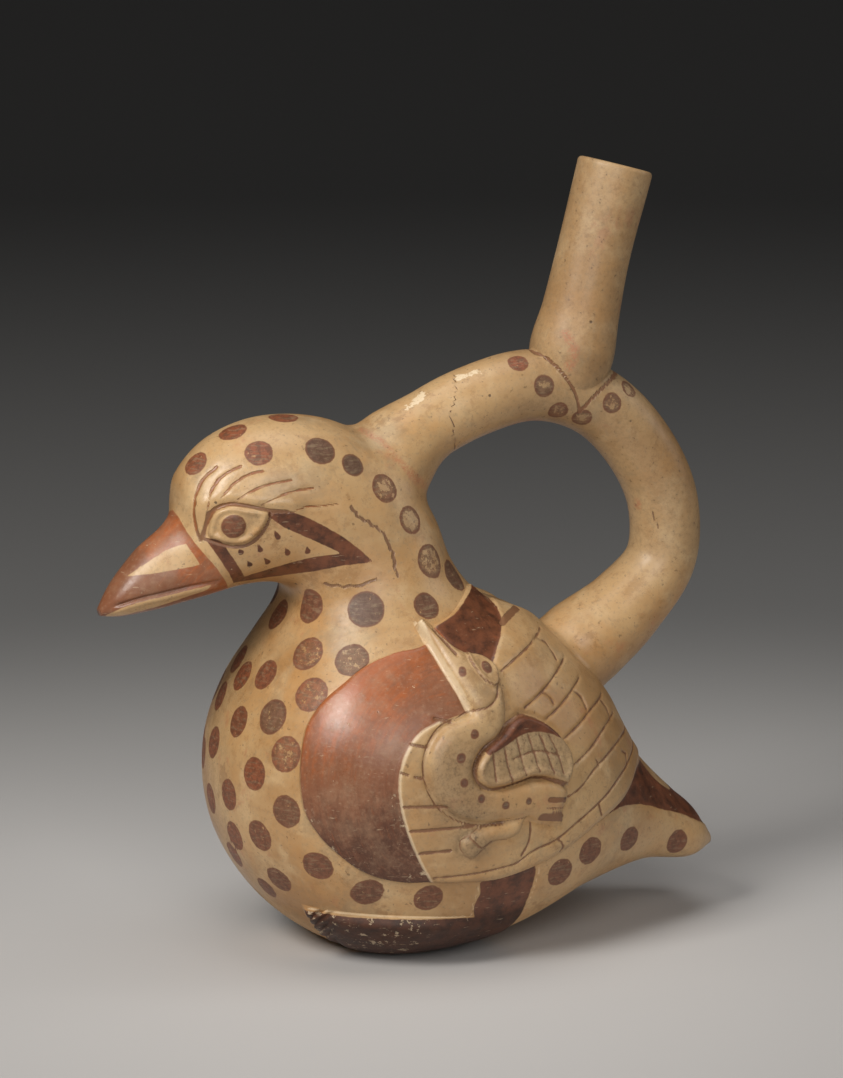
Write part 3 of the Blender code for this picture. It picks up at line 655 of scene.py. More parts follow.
SPOTS: tuple[Spot, ...] = (
    Spot(-77.3, -5, 149.6, 4.0, 0.9, False),
    Spot(-65.3, -4, 158.3, 4.4, 1.0, False),
    Spot(-61, -15, 153.3, 4.2, 1.1),
    Spot(-49, -3, 161, 4.4, 0.9, False),
    Spot(-42.7, -17, 152.8, 4.6, 0.1),
    Spot(-33.3, -19, 148.3, 3.6, 0.0),
    Spot(-23.7, -20, 141, 4.5, 0.4, worn=0.45),
    Spot(-16, -21, 131.2, 4.3, 0.4, worn=0.75),
    Spot(-10.4, -23, 118.8, 5.2, 0.3, worn=0.6),
    Spot(-14.5, -30, 106.9, 4.2, 0.2),
    Spot(-0.6, -18, 113, 5.2, 0.2),
    Spot(-50.4, 1, 101.7, 5.0, 0.7, False),
    Spot(-46, -15, 106.5, 5.0, 0.5),
    Spot(-32.8, -28, 106.9, 5.5, 0.1),
    Spot(-61.9, 1, 84.1, 5.0, 0.9, False),
    Spot(-59.1, -12, 86.8, 4.9, 0.8),
    Spot(-49.8, -23, 94.5, 5.4, 0.7, worn=0.3),
    Spot(-39.6, -34, 93.6, 5.2, 0.3, worn=0.34),
    Spot(-66.6, -9, 72.4, 4.9, 0.7, False),
    Spot(-61.2, -24, 76.6, 5.5, 0.3, worn=0.2),
    Spot(-51.7, -32, 84.1, 5.4, 0.9, worn=0.34),
    Spot(-69.3, 5, 63.2, 5.0, 0.8, False),
    Spot(-60.2, -33, 67.1, 5.4, 0.8, worn=0.34),
    Spot(-66.4, -23, 59.5, 5.0, 0.9),
    Spot(-70.1, 6, 45.6, 4.8, 0.9, False),
    Spot(-69.9, -10, 50.5, 4.8, 0.8, False),
    Spot(-60.8, -35, 50.3, 5.0, 0.4, worn=0.1),
    Spot(-68.5, -10, 37.6, 4.8, 0.9, False),
    Spot(-65.4, -24, 40.7, 5.0, 0.6),
    Spot(-52.6, -39, 33.8, 5.0, 0.5),
    Spot(-59.7, -24, 26.3, 4.8, 0.5),
    Spot(-66.4, -3, 29.6, 4.6, 0.9, False),
    Spot(-60.5, -14, 20.9, 4.4, 0.6),
    Spot(-65, 12, 75.8, 4.8, 0.8, False),
    Spot(-67.4, 17, 57, 4.8, 0.8, False),
    Spot(-38.6, None, 26.2, 4.4, 0.4),
    Spot(-21.5, None, 24, 4.3, 0.5),
    Spot(21, None, 27.2, 4.5, 0.5),
    Spot(32, None, 32, 4.4, 0.5),
    Spot(49, None, 31.6, 4.0, 0.5),
    Spot(71, None, 25.6, 4.0, 0.6),
    Spot(24.5, -6.4, 173.6, 3.2, 0.9),
    Spot(31.2, -10.4, 166.9, 3.4, 0.2, worn=0.45),
    Spot(36.7, -8.6, 158.7, 3.2, 0.5, worn=0.5),
    Spot(44.6, -8.5, 156.1, 3.2, 0.4, worn=0.6),
    Spot(53.6, -10.5, 160.4, 3.2, 0.2, worn=0.5),
    Spot(60.6, -6.8, 163.8, 3.0, 0.3, worn=0.6),
    Spot(-11, None, 73, 1.3, 0.4),
    Spot(-15.5, None, 67, 1.4, 0.2),
    Spot(-14.7, None, 60, 1.3, 0.2),
    Spot(-9.6, None, 55, 1.2, 0.0),
    Spot(-2, None, 52.3, 1.2, 0.0),
    Spot(5.4, None, 52.3, 1.1, 0.0),
    Spot(-11, None, 88, 1.1, 0.6),
    Spot(-3.4, None, 88.6, 1.5, 0.3, worn=0.3),
    Spot(-70, None, 132.4, 3.5, 0.6),
)


@dataclass
class Painting:
    """Lays the areas, strokes and spots onto points of the clay and works out its relief."""

    skin: Skin
    reach: float = 6.0

    def fold(self, points: np.ndarray) -> np.ndarray:
        """The points with the right side folded onto the left."""
        return np.column_stack([points[:, 0], -np.abs(points[:, 1]), points[:, 2]])

    def attributes(self, points: np.ndarray) -> dict[str, np.ndarray]:
        """Every painted layer at points of the clay.

        A layer's value is the distance inside the nearest edge of its shapes. A stroke's is
        (w² - d²) / 2w for a half width w and a distance d, which has no crease along its middle.

        Args:
            points: Rows of x, y and z in millimetres.

        Returns:
            One array for each attribute name.
        """
        left = self.fold(points)
        side = left[:, 0::2]
        layers = {channel: np.full(len(points), -self.reach) for channel in Channel}
        warmth, worn = np.full(len(points), 0.4), np.zeros(len(points))
        for stroke in STROKES:
            path = smooth_line(stroke.points)
            path = path if path.shape[1] == 3 else self.skin.lifted(path)
            half = stroke.width / 2
            distance = self.stroke_distance(left if stroke.paired else points, path, 8.0, stroke.y_share)
            value = (half**2 - distance**2) / (2 * half)
            layers[stroke.channel] = np.maximum(layers[stroke.channel], value)
            if stroke.channel is Channel.LINE:
                warmth = np.where(distance < half + 1.2, stroke.warmth, warmth)
        for area in sorted(AREAS, key=lambda each: each.over):
            inside = inside_distance(side, joined(area.parts))
            if area.foot:
                inside = np.minimum(inside, self.behind_toes(points))
            if area.over:
                layers[Channel.BARE] = np.minimum(layers[Channel.BARE], -inside)
            layers[area.channel] = np.maximum(layers[area.channel], inside)
        for channel in (Channel.RED, Channel.BROWN):
            layers[channel] = np.minimum(layers[channel], -layers[Channel.BARE])
        for tear in TEARS:
            top, foot = np.array(tear, float)
            share = np.clip((side - top) @ (foot - top) / ((foot - top) ** 2).sum(), 0, 1)
            gap = np.linalg.norm(side - top - share[:, None] * (foot - top), axis=1)
            layers[Channel.BROWN] = np.maximum(layers[Channel.BROWN], 0.1 + 0.75 * share - gap)
        for spot in SPOTS:
            if spot.y is None:
                gap = np.hypot(side[:, 0] - spot.x, side[:, 1] - spot.z)
            else:
                source = left if spot.paired and spot.y < -2 else points
                gap = np.linalg.norm(source - np.array([spot.x, spot.y, spot.z]), axis=1)
            inside = spot.radius - gap
            nearest = inside > layers[Channel.SPOT]
            layers[Channel.SPOT] = np.where(nearest, inside, layers[Channel.SPOT])
            warmth = np.where(nearest & (inside > -3), spot.warmth, warmth)
            worn = np.where(nearest & (inside > -1), spot.worn * soft((inside - 0.3) / 1.4), worn)
        result = {channel.value: np.maximum(value, -self.reach) for channel, value in layers.items()}
        result["warmth"], result["worn"] = warmth, worn
        result["depth"] = self.depth(side)
        result["greying"] = self.greying(left)
        # Cream flakes of worn paint on the crescent's dark lower edge, and on the toe ridges, which are made lighter as
        # painted highlight.
        rim = soft(1 - layers[Channel.RED] / 5) * soft((result["depth"] - 0.5) / 0.3) * (side[:, 0] < -20)
        toes = np.exp(-((self.behind_toes(points) - 4) / 9) ** 2) * soft((20 - side[:, 1]) / 3) * (side[:, 0] < 0)
        result["flaking_and_highlight"] = np.maximum(rim, 0.75 * toes + 1.1 * self.toe_lines(points, 1.4, 0.35))
        # Painted shade: how far the brown paint is darkened near the floor, below about 20 mm.
        result["low_shade"] = soft((20 - side[:, 1]) / 5)
        result["sweep"] = np.hypot(side[:, 0] + 12, side[:, 1] - 58)
        result["round"] = np.arctan2(side[:, 1] - 58, -side[:, 0] - 12)
        return result

    def stroke_distance(self, points: np.ndarray, path: np.ndarray, reach: float, y_share: float) -> np.ndarray:
        """Distance from the points to a laid line, measured across the side view and less along y.

        Relief lifts the clay off the skin on which the line is laid, so that only a share of the y gap counts.
        """
        scale = np.array([1.0, y_share, 1.0])
        return near_distance(points * scale, path * scale, reach)

    def depth(self, side: np.ndarray) -> np.ndarray:
        """How dark the red paint is, from 0 at the crescent's upper front to 1 at its foot."""
        low = soft((96 - side[:, 1] + 0.3 * (side[:, 0] + 44)) / 64)
        back = soft((side[:, 0] + 40) / 22) * soft((side[:, 1] - 66) / 20)
        mouth_side = soft((122 - side[:, 1] - 0.9 * (side[:, 0] + 84)) / 12)
        beak = (side[:, 0] < -66) & (side[:, 1] > 98)
        return np.where(beak, 0.22 + 0.3 * mouth_side, np.clip(low + 0.2 * back, 0, 1))

    def greying(self, left: np.ndarray) -> np.ndarray:
        """How far the slip is greyed: most on the small bird's breast, wing and leg, less on the small bird, the neck,
        the body near the tail, the lower body and the back arm.
        """
        breast = np.exp(-(((left[:, 0] + 17) / 9) ** 2 + ((left[:, 2] - 57) / 12) ** 2))
        wing = 0.95 * soft(inside_distance(left[:, 0::2], smooth_outline(SMALL_WING)) / 2.5)
        bird = 0.35 * soft(inside_distance(left[:, 0::2], smooth_outline(SMALL_BIRD)) / 2.5)
        head = 0.3 * np.exp(-(((left[:, 0] + 30) / 22) ** 2 + ((left[:, 2] - 132) / 20) ** 2))
        tail = 0.2 * np.exp(-(((left[:, 0] - 40) / 18) ** 2 + ((left[:, 2] - 34) / 10) ** 2))
        leg = 1.4 * np.exp(-(((left[:, 0] + 11) / 5) ** 2 + ((left[:, 2] - 41) / 4) ** 2))
        low = 0.12 * soft((100 - left[:, 2]) / 40) * soft((left[:, 0] + 36) / 20)
        arms = 0.6 * soft((left[:, 0] - 8) / 24) * soft((left[:, 2] - 100) / 16)
        return np.clip(np.maximum(breast + bird, wing) + head + tail + leg + low + arms, 0, 1)

    def carving(self, points: np.ndarray) -> np.ndarray:
        """Relief of the skin itself in millimetres: eyes, mouth, brow, leg and tail.

        Raised shapes are quarter rounds of the distance inside their outline, and incised lines are
        Gaussian grooves of the distance to them.
        """
        left = self.fold(points)
        side = left[:, 0::2]
        height = np.zeros(len(points))
        eye = inside_distance(side, smooth_outline(EYE, 0.7))
        height += 1.25 * dome((eye + 0.2) / 1.1) - 0.85 * soft((eye - 0.9) / 1.3)
        iris = np.hypot(side[:, 0] + 70, side[:, 1] - 132.4)
        height += 1.15 * dome((3.7 - iris) / 2.6)
        height -= 0.5 * np.exp(-(((eye + 0.6) / 0.7) ** 2))
        side_only = soft((np.abs(points[:, 1]) - 4) / 4)
        height *= side_only
        mouth = near_distance(side, smooth_line(MOUTH, 1.0), 6.0)
        open_part = soft((side[:, 0] + 104) / 4)
        height -= 0.75 * np.exp(-((mouth / 0.55) ** 2)) * open_part
        lip = near_distance(side, smooth_line(tuple((x, z - 1.7) for x, z in MOUTH), 1.0), 6.0)
        height += 0.35 * np.exp(-((lip / 0.9) ** 2)) * open_part
        brow = near_distance(side, smooth_line(LID, 1.0), 12.0)
        above = soft((side[:, 1] - 131) / 8)
        height += 0.8 * np.exp(-(((brow - 2.4) / 2.4) ** 2)) * above * side_only
        for line in BROW_LINES:
            groove = near_distance(left, self.skin.lifted(smooth_line(line)), 4.0)
            height -= 0.22 * np.exp(-((groove / 0.6) ** 2))
        behind = self.behind_toes(points)
        leg = inside_distance(side, joined(LEG))
        height -= 0.5 * soft((leg + 0.4) / 0.9) * soft(behind / 4) * soft((side[:, 1] - 16.5) / 1.5)
        tail = inside_distance(side, joined((TAIL_TOP[:7], TAIL_TOP[6:15], TAIL_TOP[15:])))
        height -= 0.45 * soft((tail + 0.4) / 0.9)
        return height * soft((points[:, 2] - 0.4) / 3.0)

    def behind_toes(self, points: np.ndarray) -> np.ndarray:
        """How far each point lies outwards of the toes' tips, a line that leans out as it rises."""
        return np.abs(points[:, 1]) - 16.6 - 0.75 * np.maximum(points[:, 2] - 7, 0)

    def toe_lines(self, points: np.ndarray, offset: float, width: float) -> np.ndarray:
        """Five slanting lines round the front of the foot, as Gaussians of the height above each line.

        Args:
            points: Rows of x, y and z.
            offset: How far above the grooves between the toes the lines lie.
            width: The Gaussian's width.

        Returns:
            A value from 0 to about 1 for each point, which fades towards the heel.
        """
        behind = self.behind_toes(points)
        total = np.zeros(len(points))
        for start in (13.2, 10.4, 7.6, 4.8, 2.0):
            gap = (points[:, 2] - start - offset - behind) / 1.4
            total += np.exp(-((gap / width) ** 2))
        return total * soft((behind + 1) / 1.5) * soft((9 - behind) / 4) * (points[:, 0] < -20)

    def foot_push(self, points: np.ndarray) -> np.ndarray:
        """How far the foot's roll with its toes stands out level from the skin.

        A quarter round of the distance inside the foot, higher at the toes than at the heel, less the
        grooves between the toes.
        """
        foot = self.foot_distance(points)
        heel = 1 - 0.8 * soft((points[:, 0] + 26) / 30)
        roll = (1.2 + 2.2 * heel) * soft(foot / 4.5)
        return (roll - 1.5 * self.toe_lines(points, 0.0, 0.55) * soft(foot / 1.5)) * soft(points[:, 2] / 1.2)

    def foot_distance(self, points: np.ndarray) -> np.ndarray:
        """Distance inside the foot, which ends in front at the toes' tips."""
        foot = inside_distance(self.fold(points)[:, 0::2], smooth_outline(FOOT, 0.8))
        return np.minimum(foot, self.behind_toes(points) + 1.4)

    def wing_height(self, points: np.ndarray) -> np.ndarray:
        """Height of the wing plate over the skin in millimetres, and below it outside the wing.

        The wing is a low step with a rounded edge. On it stand the feather panel, and over that the small
        bird, its wing and its leg as quarter rounds of the distance inside their outlines. Feather lines,
        the beak's slit and the eye's ring are Gaussian grooves.

        Args:
            points: Rows of x, y and z of the skin under the plate.

        Returns:
            One height for each point.
        """
        side = self.fold(points)[:, 0::2]
        wing = inside_distance(side, smooth_outline(WING_EDGE, 1.0))
        wing = np.minimum(wing, np.abs(points[:, 1]) - 13.5)
        height = -1.6 + 2.6 * soft((wing + 1.3) / 1.9) + 0.35 * dome(wing / 6)
        panel = inside_distance(side, smooth_outline(FEATHER_EDGE, 1.0))
        height += 0.7 * soft((panel + 0.5) / 1.3) - 0.9 * soft((side[:, 0] - 44) / 14)
        rim = near_distance(side, smooth_line(CRESCENT_INNER, 1.0), 6.0)
        height += 0.35 * np.exp(-((rim / 0.7) ** 2))
        for line in FEATHERS + BARS:
            groove = near_distance(side, smooth_line(line), 4.0)
            height -= 0.3 * np.exp(-((groove / 0.5) ** 2))
        bird = inside_distance(side, smooth_outline(SMALL_BIRD, 0.8))
        height -= 0.5 * np.exp(-(((bird + 0.5) / 0.8) ** 2))
        height = np.where(bird > 0, np.maximum(height, 1.2 + 3.4 * dome(bird / 4.2)), height)
        slit = near_distance(side, smooth_line(((-17.6, 102), (-14.8, 97.6), (-11.2, 92))), 4.0)
        height -= 0.8 * np.exp(-((slit / 0.5) ** 2))
        eye = inside_distance(side, smooth_outline(SMALL_EYE, 0.6))
        height += 0.55 * np.exp(-(((eye - 0.5) / 0.6) ** 2)) - 0.35 * np.exp(-(((eye + 0.5) / 0.5) ** 2))
        pupil = np.hypot(side[:, 0] + 3.4, side[:, 1] - 88.6)
        height -= 0.3 * np.exp(-(((pupil - 1.9) / 0.4) ** 2))
        jaw = near_distance(side, smooth_line(((-1.2, 84.2), (-2.7, 81.3), (-5.4, 79.4), (-9.7, 79))), 4.0)
        height -= 0.45 * np.exp(-((jaw / 0.5) ** 2))
        small_wing = inside_distance(side, smooth_outline(SMALL_WING, 0.8))
        raised = 1.2 + 4.0 * dome(small_wing / 2.4) - 0.8 * soft((small_wing - 1.4) / 1.8)
        for line in SMALL_FEATHERS:
            groove = near_distance(side, smooth_line(line), 4.0)
            raised -= 0.35 * np.exp(-((groove / 0.5) ** 2)) * soft(small_wing / 1.5)
        trench = 0.6 * np.exp(-(((small_wing + 0.4) / 0.6) ** 2))
        height = np.where(small_wing > 0, np.maximum(height, raised), height - trench)
        leg = inside_distance(side, smooth_outline(SMALL_LEG, 0.8))
        height -= 0.3 * np.exp(-(((leg + 0.4) / 0.6) ** 2))
        return np.where(leg > 0, np.maximum(height, 1.2 + 2.4 * dome(leg / 2.4)), height)


# The three pieces


@dataclass
class Vessel:
    """The whole hollow bottle: the bird's skin with stirrup and spout, less its chamber, channel and bore."""

    skin: Skin
    painting: Painting
    rings: int = 292
    sides: int = 250
    body_wall: float = 5.0
    floor: float = 6.0
    arm_wall: float = 4.0
    lip_wall: float = 3.0
    arm_radius: float = 10.8
    head_root: tuple[float, float] = (19.0, 36.0)
    back_root: tuple[float, float] = (15.0, 55.0)
    stirrup_line: Line = (
        (-26.0, 133.0), (-6.5, 152.6), (13.0, 162.0), (32.7, 165.7), (51.5, 160.2), (67.0, 145.6),
        (75.8, 127.0), (75.2, 109.6), (63.5, 95.6), (46.0, 82.6), (37.0, 75.0),
    )
    spout_line: Line = (
        (42.0, 157.0), (43.3, 167.0), (44.6, 174.0), (47.8, 187.5), (50.9, 201.0), (59.0, 231.3),
    )
    spout_radii: tuple[float, ...] = (6.6, 11.43, 12.8, 11.8, 11.2, 11.5)

    def tube(self, line: np.ndarray, radii: np.ndarray, sides: int) -> np.ndarray:
        """Rings of a round bar along a line in the middle plane.

        Each ring is the centre plus the radius times (cosine of the turn × the line's normal + sine × y).
        """
        course = np.gradient(line, axis=0)
        course /= np.linalg.norm(course, axis=1)[:, None]
        turn = np.linspace(0, 2 * math.pi, sides, endpoint=False)[None, :]
        x = line[:, 0:1] - radii[:, None] * np.cos(turn) * course[:, 1:2]
        z = line[:, 1:2] + radii[:, None] * np.cos(turn) * course[:, 0:1]
        return np.stack([x, radii[:, None] * np.sin(turn), z], axis=-1)

    def arm(self, steps: int, sides: int, inset: float = 0.0) -> np.ndarray:
        """Rings of the stirrup: an even bar that flares out to each root, made thinner by the inset."""
        drawn = np.array(self.stirrup_line)
        keys = lengths(drawn)
        at = np.linspace(0, keys[-1], steps)
        head = (self.head_root[0] - self.arm_radius) * (1 - soft(at / self.head_root[1]))
        back = (self.back_root[0] - self.arm_radius) * (1 - soft((keys[-1] - at) / self.back_root[1]))
        return self.tube(spline(keys, drawn, at), self.arm_radius + head + back - inset, sides)

    def spout(self, steps: int, sides: int) -> np.ndarray:
        """Rings of the spout, whose rim rolls over in a quarter round."""
        drawn = np.array(self.spout_line)
        keys = lengths(drawn)
        turn = np.linspace(0, math.pi / 2, 7)
        at = np.concatenate([np.linspace(0, keys[-1] - 1.3, steps), keys[-1] - 1.3 + 1.3 * np.sin(turn[1:])])
        radii = spline(keys, np.array(self.spout_radii)[:, None], at)[:, 0]
        radii[-6:] -= 1.3 * (1 - np.cos(turn[1:]))
        return self.tube(spline(keys, drawn, at), radii, sides)

    def bore(self, sides: int) -> np.ndarray:
        """Rings of the hollow in the spout, which opens in a quarter round at the rim and runs on past it."""
        drawn = np.array(self.spout_line[1:])
        end = drawn[-1] - drawn[-2]
        drawn = np.vstack([drawn, drawn[-1] + end / np.linalg.norm(end) * 8])
        keys = lengths(drawn)
        rim = keys[-2]
        at = np.concatenate([np.linspace(0, rim - 1.6, 24), np.linspace(rim - 1.5, rim + 0.2, 12), [rim + 6]])
        radii = np.interp(at, keys[:-1], np.array(self.spout_radii[1:]) - self.lip_wall)
        lip = np.clip((at - rim + 1.5) / 1.5, 0, 1)
        radii += 1.4 * (1 - np.sqrt(1 - lip**2))
        return self.tube(spline(keys, drawn, at), radii, sides)

    def hollow(self) -> bpy.types.Object:
        """The chamber with the arms' channel and the spout's bore, as one cutter."""
        keys, _ = self.skin.keys()
        places = np.linspace(keys[self.skin.brow], keys[self.skin.tail_root], 44)
        turns = np.linspace(0, 2 * math.pi, 44, endpoint=False)
        chamber = ring_mesh("chamber", self.skin.grid(places, turns, -self.body_wall, self.floor))
        combine(chamber, "UNION", ring_mesh("channel", self.arm(90, 26, self.arm_wall)))
        combine(chamber, "UNION", ring_mesh("bore", self.bore(40)))
        return chamber

    def build(self) -> bpy.types.Object:
        """The finished mesh with its carving and its painted layers."""
        turns = np.linspace(0, 2 * math.pi, self.sides, endpoint=False)
        grid = self.skin.grid(self.skin.places(self.rings), turns)
        normal = grid_normals(grid, wrap=True)
        centre = grid.mean(axis=1, keepdims=True)
        if ((grid - centre) * normal).sum() < 0:
            normal = -normal
        height = self.painting.carving(grid.reshape(-1, 3)).reshape(grid.shape[:2])
        vessel = ring_mesh("vessel", grid + normal * height[..., None])
        combine(vessel, "UNION", ring_mesh("stirrup", self.arm(200, 60)))
        self.fair(vessel)
        combine(vessel, "UNION", ring_mesh("spout", self.spout(90, 72)))
        combine(vessel, "DIFFERENCE", self.hollow())
        for name, values in self.painting.attributes(positions(vessel)).items():
            mark(vessel, name, values)
        return vessel

    def fair(self, vessel: bpy.types.Object, reach: float = 7.0, rounds: int = 24) -> None:
        """Softens the joint of skin and stirrup, as wet clay is smoothed over.

        Points close to both surfaces move towards the mean of their neighbours in several rounds, with
        a weight that falls to 0 at the reach.
        """
        points = positions(vessel)
        line = np.array(self.stirrup_line)
        keys = lengths(line)
        at = np.linspace(0, keys[-1], 160)
        centre = spline(keys, line, at)
        ring = np.linalg.norm(self.arm(160, 8)[:, 0, 0::2] - centre, axis=1)
        near = np.flatnonzero((np.abs(points[:, 1]) < 24) & (points[:, 2] > 60))
        gap = np.linalg.norm(points[near][:, None, :] - np.insert(centre, 1, 0.0, axis=1)[None], axis=2)
        closest = gap.argmin(1)
        off_arm = np.abs(gap[np.arange(len(near)), closest] - ring[closest])
        skin = self.skin.grid(self.skin.places(150), np.linspace(0, 2 * math.pi, 90, endpoint=False))
        skin = skin[(np.abs(skin[..., 1]) < 26) & (skin[..., 2] > 60)]
        off_skin = np.full(len(near), 99.0)
        close = np.flatnonzero(off_arm < reach)
        for part in np.array_split(close, 12):
            off_skin[part] = np.linalg.norm(points[near[part]][:, None, :] - skin[None], axis=2).min(1)
        weight = np.zeros(len(points))
        weight[near] = 0.7 * soft(1 - (off_arm + np.maximum(off_skin - 0.6, 0)) / reach)
        edges = np.empty(len(vessel.data.edges) * 2, np.int64)
        vessel.data.edges.foreach_get("vertices", edges)
        edges = edges.reshape(-1, 2)
        edges = edges[(weight[edges] > 0).any(1)]
        count = np.maximum(np.bincount(edges.ravel(), minlength=len(points)), 1)
        for _ in range(rounds):
            total = np.zeros_like(points)
            np.add.at(total, edges[:, 0], points[edges[:, 1]])
            np.add.at(total, edges[:, 1], points[edges[:, 0]])
            mean = total / count[:, None]
            points += weight[:, None] * (mean - points)
        vessel.data.vertices.foreach_set("co", (points * MM).ravel())


@dataclass
class Wing:
    """One wing as a plate let into the skin, with its feathers and the small bird in relief."""

    skin: Skin
    painting: Painting
    rows: int = 200
    columns: int = 226
    depth: float = 3.2
    edge: Line = WING_EDGE

    def window(self) -> tuple[np.ndarray, np.ndarray]:
        """The places and turns of the skin that the plate covers, with a margin."""
        keys, _ = self.skin.keys()
        places = np.linspace(0, keys[-1], 200)
        turns = np.linspace(math.pi, 2 * math.pi, 120)
        grid = self.skin.grid(places, turns)
        inside = inside_distance(grid.reshape(-1, 3)[:, 0::2], smooth_outline(self.edge)) > -2.4
        inside = inside.reshape(grid.shape[:2]) & (np.abs(grid[..., 1]) > 9.0)
        rows, columns = np.flatnonzero(inside.any(1)), np.flatnonzero(inside.any(0))
        span = np.linspace(places[rows[0] - 1], places[rows[-1] + 1], self.rows)
        return span, np.linspace(turns[max(columns[0] - 1, 0)], turns[min(columns[-1] + 1, 119)], self.columns)

    def outer(self, base: np.ndarray, normal: np.ndarray) -> np.ndarray:
        """The outer face: the skin raised along its normals by the wing's relief."""
        height = self.painting.wing_height(base.reshape(-1, 3)).reshape(base.shape[:2])
        return base + normal * height[..., None]

    def build(self, name: str, right: bool) -> bpy.types.Object:
        """The plate's outer face, its under face inside the clay and the wall between them.

        Args:
            name: The piece's name.
            right: Whether it is the mirror image, for the bird's right side.

        Returns:
            The closed mesh with its painted layers.
        """
        places, turns = self.window()
        base = self.skin.grid(places, turns)
        normal = grid_normals(base, wrap=False)
        if normal[self.rows // 2, self.columns // 2, 1] > 0:
            normal = -normal
        outer = self.outer(base, normal)
        inner = base - normal * self.depth
        points = np.concatenate([outer.reshape(-1, 3), inner.reshape(-1, 3)])
        number = np.arange(self.rows * self.columns).reshape(self.rows, self.columns)
        top = np.stack([number[:-1, :-1], number[:-1, 1:], number[1:, 1:], number[1:, :-1]], -1).reshape(-1, 4)
        if np.cross(outer[1, 0] - outer[0, 0], outer[0, 1] - outer[0, 0]) @ normal[0, 0] > 0:
            top = top[:, ::-1]
        edge = np.concatenate([number[0, :-1], number[:-1, -1], number[-1, :0:-1], number[:0:-1, 0]])
        follow = np.roll(edge, -1)
        under = number.size
        wall = np.stack([edge, follow, follow + under, edge + under], -1)
        first = top[0].tolist()
        pair = (int(edge[0]), int(follow[0]))
        turned = any((a, b) == pair for a, b in zip(first, first[1:] + first[:1]))
        wall = wall[:, ::-1] if turned else wall
        faces = np.concatenate([top, top[:, ::-1] + under, wall])
        if right:
            points = points * np.array([1.0, -1.0, 1.0])
            faces = faces[:, ::-1]
        piece = new_mesh(name, points, faces.tolist())
        flat = np.tile(base.reshape(-1, 3), (2, 1))
        for layer, values in self.painting.attributes(flat).items():
            mark(piece, layer, values)
        return piece


@dataclass
class Foot(Wing):
    """One foot as a finer plate let into the skin, a roll that ends in toes."""

    rows: int = 190
    columns: int = 100
    depth: float = 2.6
    edge: Line = FOOT

    def outer(self, base: np.ndarray, normal: np.ndarray) -> np.ndarray:
        """The outer face: the skin moved out level by the roll, and sunk along its normals outside the foot."""
        points = base.reshape(-1, 3)
        push = self.painting.foot_push(points)
        sink = 1.6 * (1 - soft((self.painting.foot_distance(points) + 0.7) / 1.0))
        sink += 0.5 * (1 - soft(points[:, 2] / 0.9))
        level = normal * np.array([1.0, 1.0, 0.0])
        level /= np.maximum(np.linalg.norm(level, axis=-1, keepdims=True), 0.05)
        return base + level * push.reshape(base.shape[:2] + (1,)) - normal * sink.reshape(base.shape[:2] + (1,))


# Finishes


Colour = tuple[float, float, float, float]


def srgb(red: int, green: int, blue: int) -> Colour:
    """A linear colour from 8-bit sRGB numbers."""
    parts = [value / 255 for value in (red, green, blue)]
    linear = [part / 12.92 if part <= 0.04045 else ((part + 0.055) / 1.055) ** 2.4 for part in parts]
    return (linear[0], linear[1], linear[2], 1.0)


@dataclass
class Sheet:
    """A node tree with short ways to add and link its nodes."""

    tree: bpy.types.NodeTree

    def add(self, kind: str, **settings: object) -> bpy.types.Node:
        """A new node with its settings."""
        node = self.tree.nodes.new(kind)
        for name, value in settings.items():
            setattr(node, name, value)
        return node

    def put(self, socket: bpy.types.NodeSocket, value: object) -> None:
        """Links a socket to an output, or sets its number or colour."""
        if isinstance(value, bpy.types.NodeSocket):
            self.tree.links.new(value, socket)
        else:
            socket.default_value = value

    def math(self, operation: str, *values: object) -> bpy.types.NodeSocket:
        """A math node over its values."""
        node = self.add("ShaderNodeMath", operation=operation)
        for socket, value in zip(node.inputs, values):
            self.put(socket, value)
        return node.outputs[0]

    def ramp(self, value: object, low: float, high: float, start: object = 0.0, end: object = 1.0) -> bpy.types.NodeSocket:
        """A soft step of the value from low to high."""
        node = self.add("ShaderNodeMapRange", interpolation_type="SMOOTHSTEP", clamp=True)
        for index, item in enumerate((value, low, high, start, end)):
            self.put(node.inputs[index], item)
        return node.outputs[0]

    def mix(self, share: object, first: object, second: object, blend: str = "MIX") -> bpy.types.NodeSocket:
        """Two colours mixed by the share."""
        node = self.add("ShaderNodeMix", data_type="RGBA", blend_type=blend, clamp_factor=True)
        self.put(node.inputs[0], share)
        self.put(node.inputs[6], first)
        self.put(node.inputs[7], second)
        return node.outputs[2]

    def noise(self, place: object, scale: float, detail: float = 3.0, rough: float = 0.5, warp: float = 0.0) -> bpy.types.NodeSocket:
        """Noise from 0 to 1 about a place in metres."""
        node = self.add("ShaderNodeTexNoise")
        self.put(node.inputs["Vector"], place)
        self.put(node.inputs["Scale"], scale)
        self.put(node.inputs["Detail"], detail)
        self.put(node.inputs["Roughness"], rough)
        self.put(node.inputs["Distortion"], warp)
        return node.outputs["Fac"]

    def layer(self, name: str) -> bpy.types.NodeSocket:
        """One of the mesh's attributes."""
        return self.add("ShaderNodeAttribute", attribute_name=name, attribute_type="GEOMETRY").outputs["Fac"]


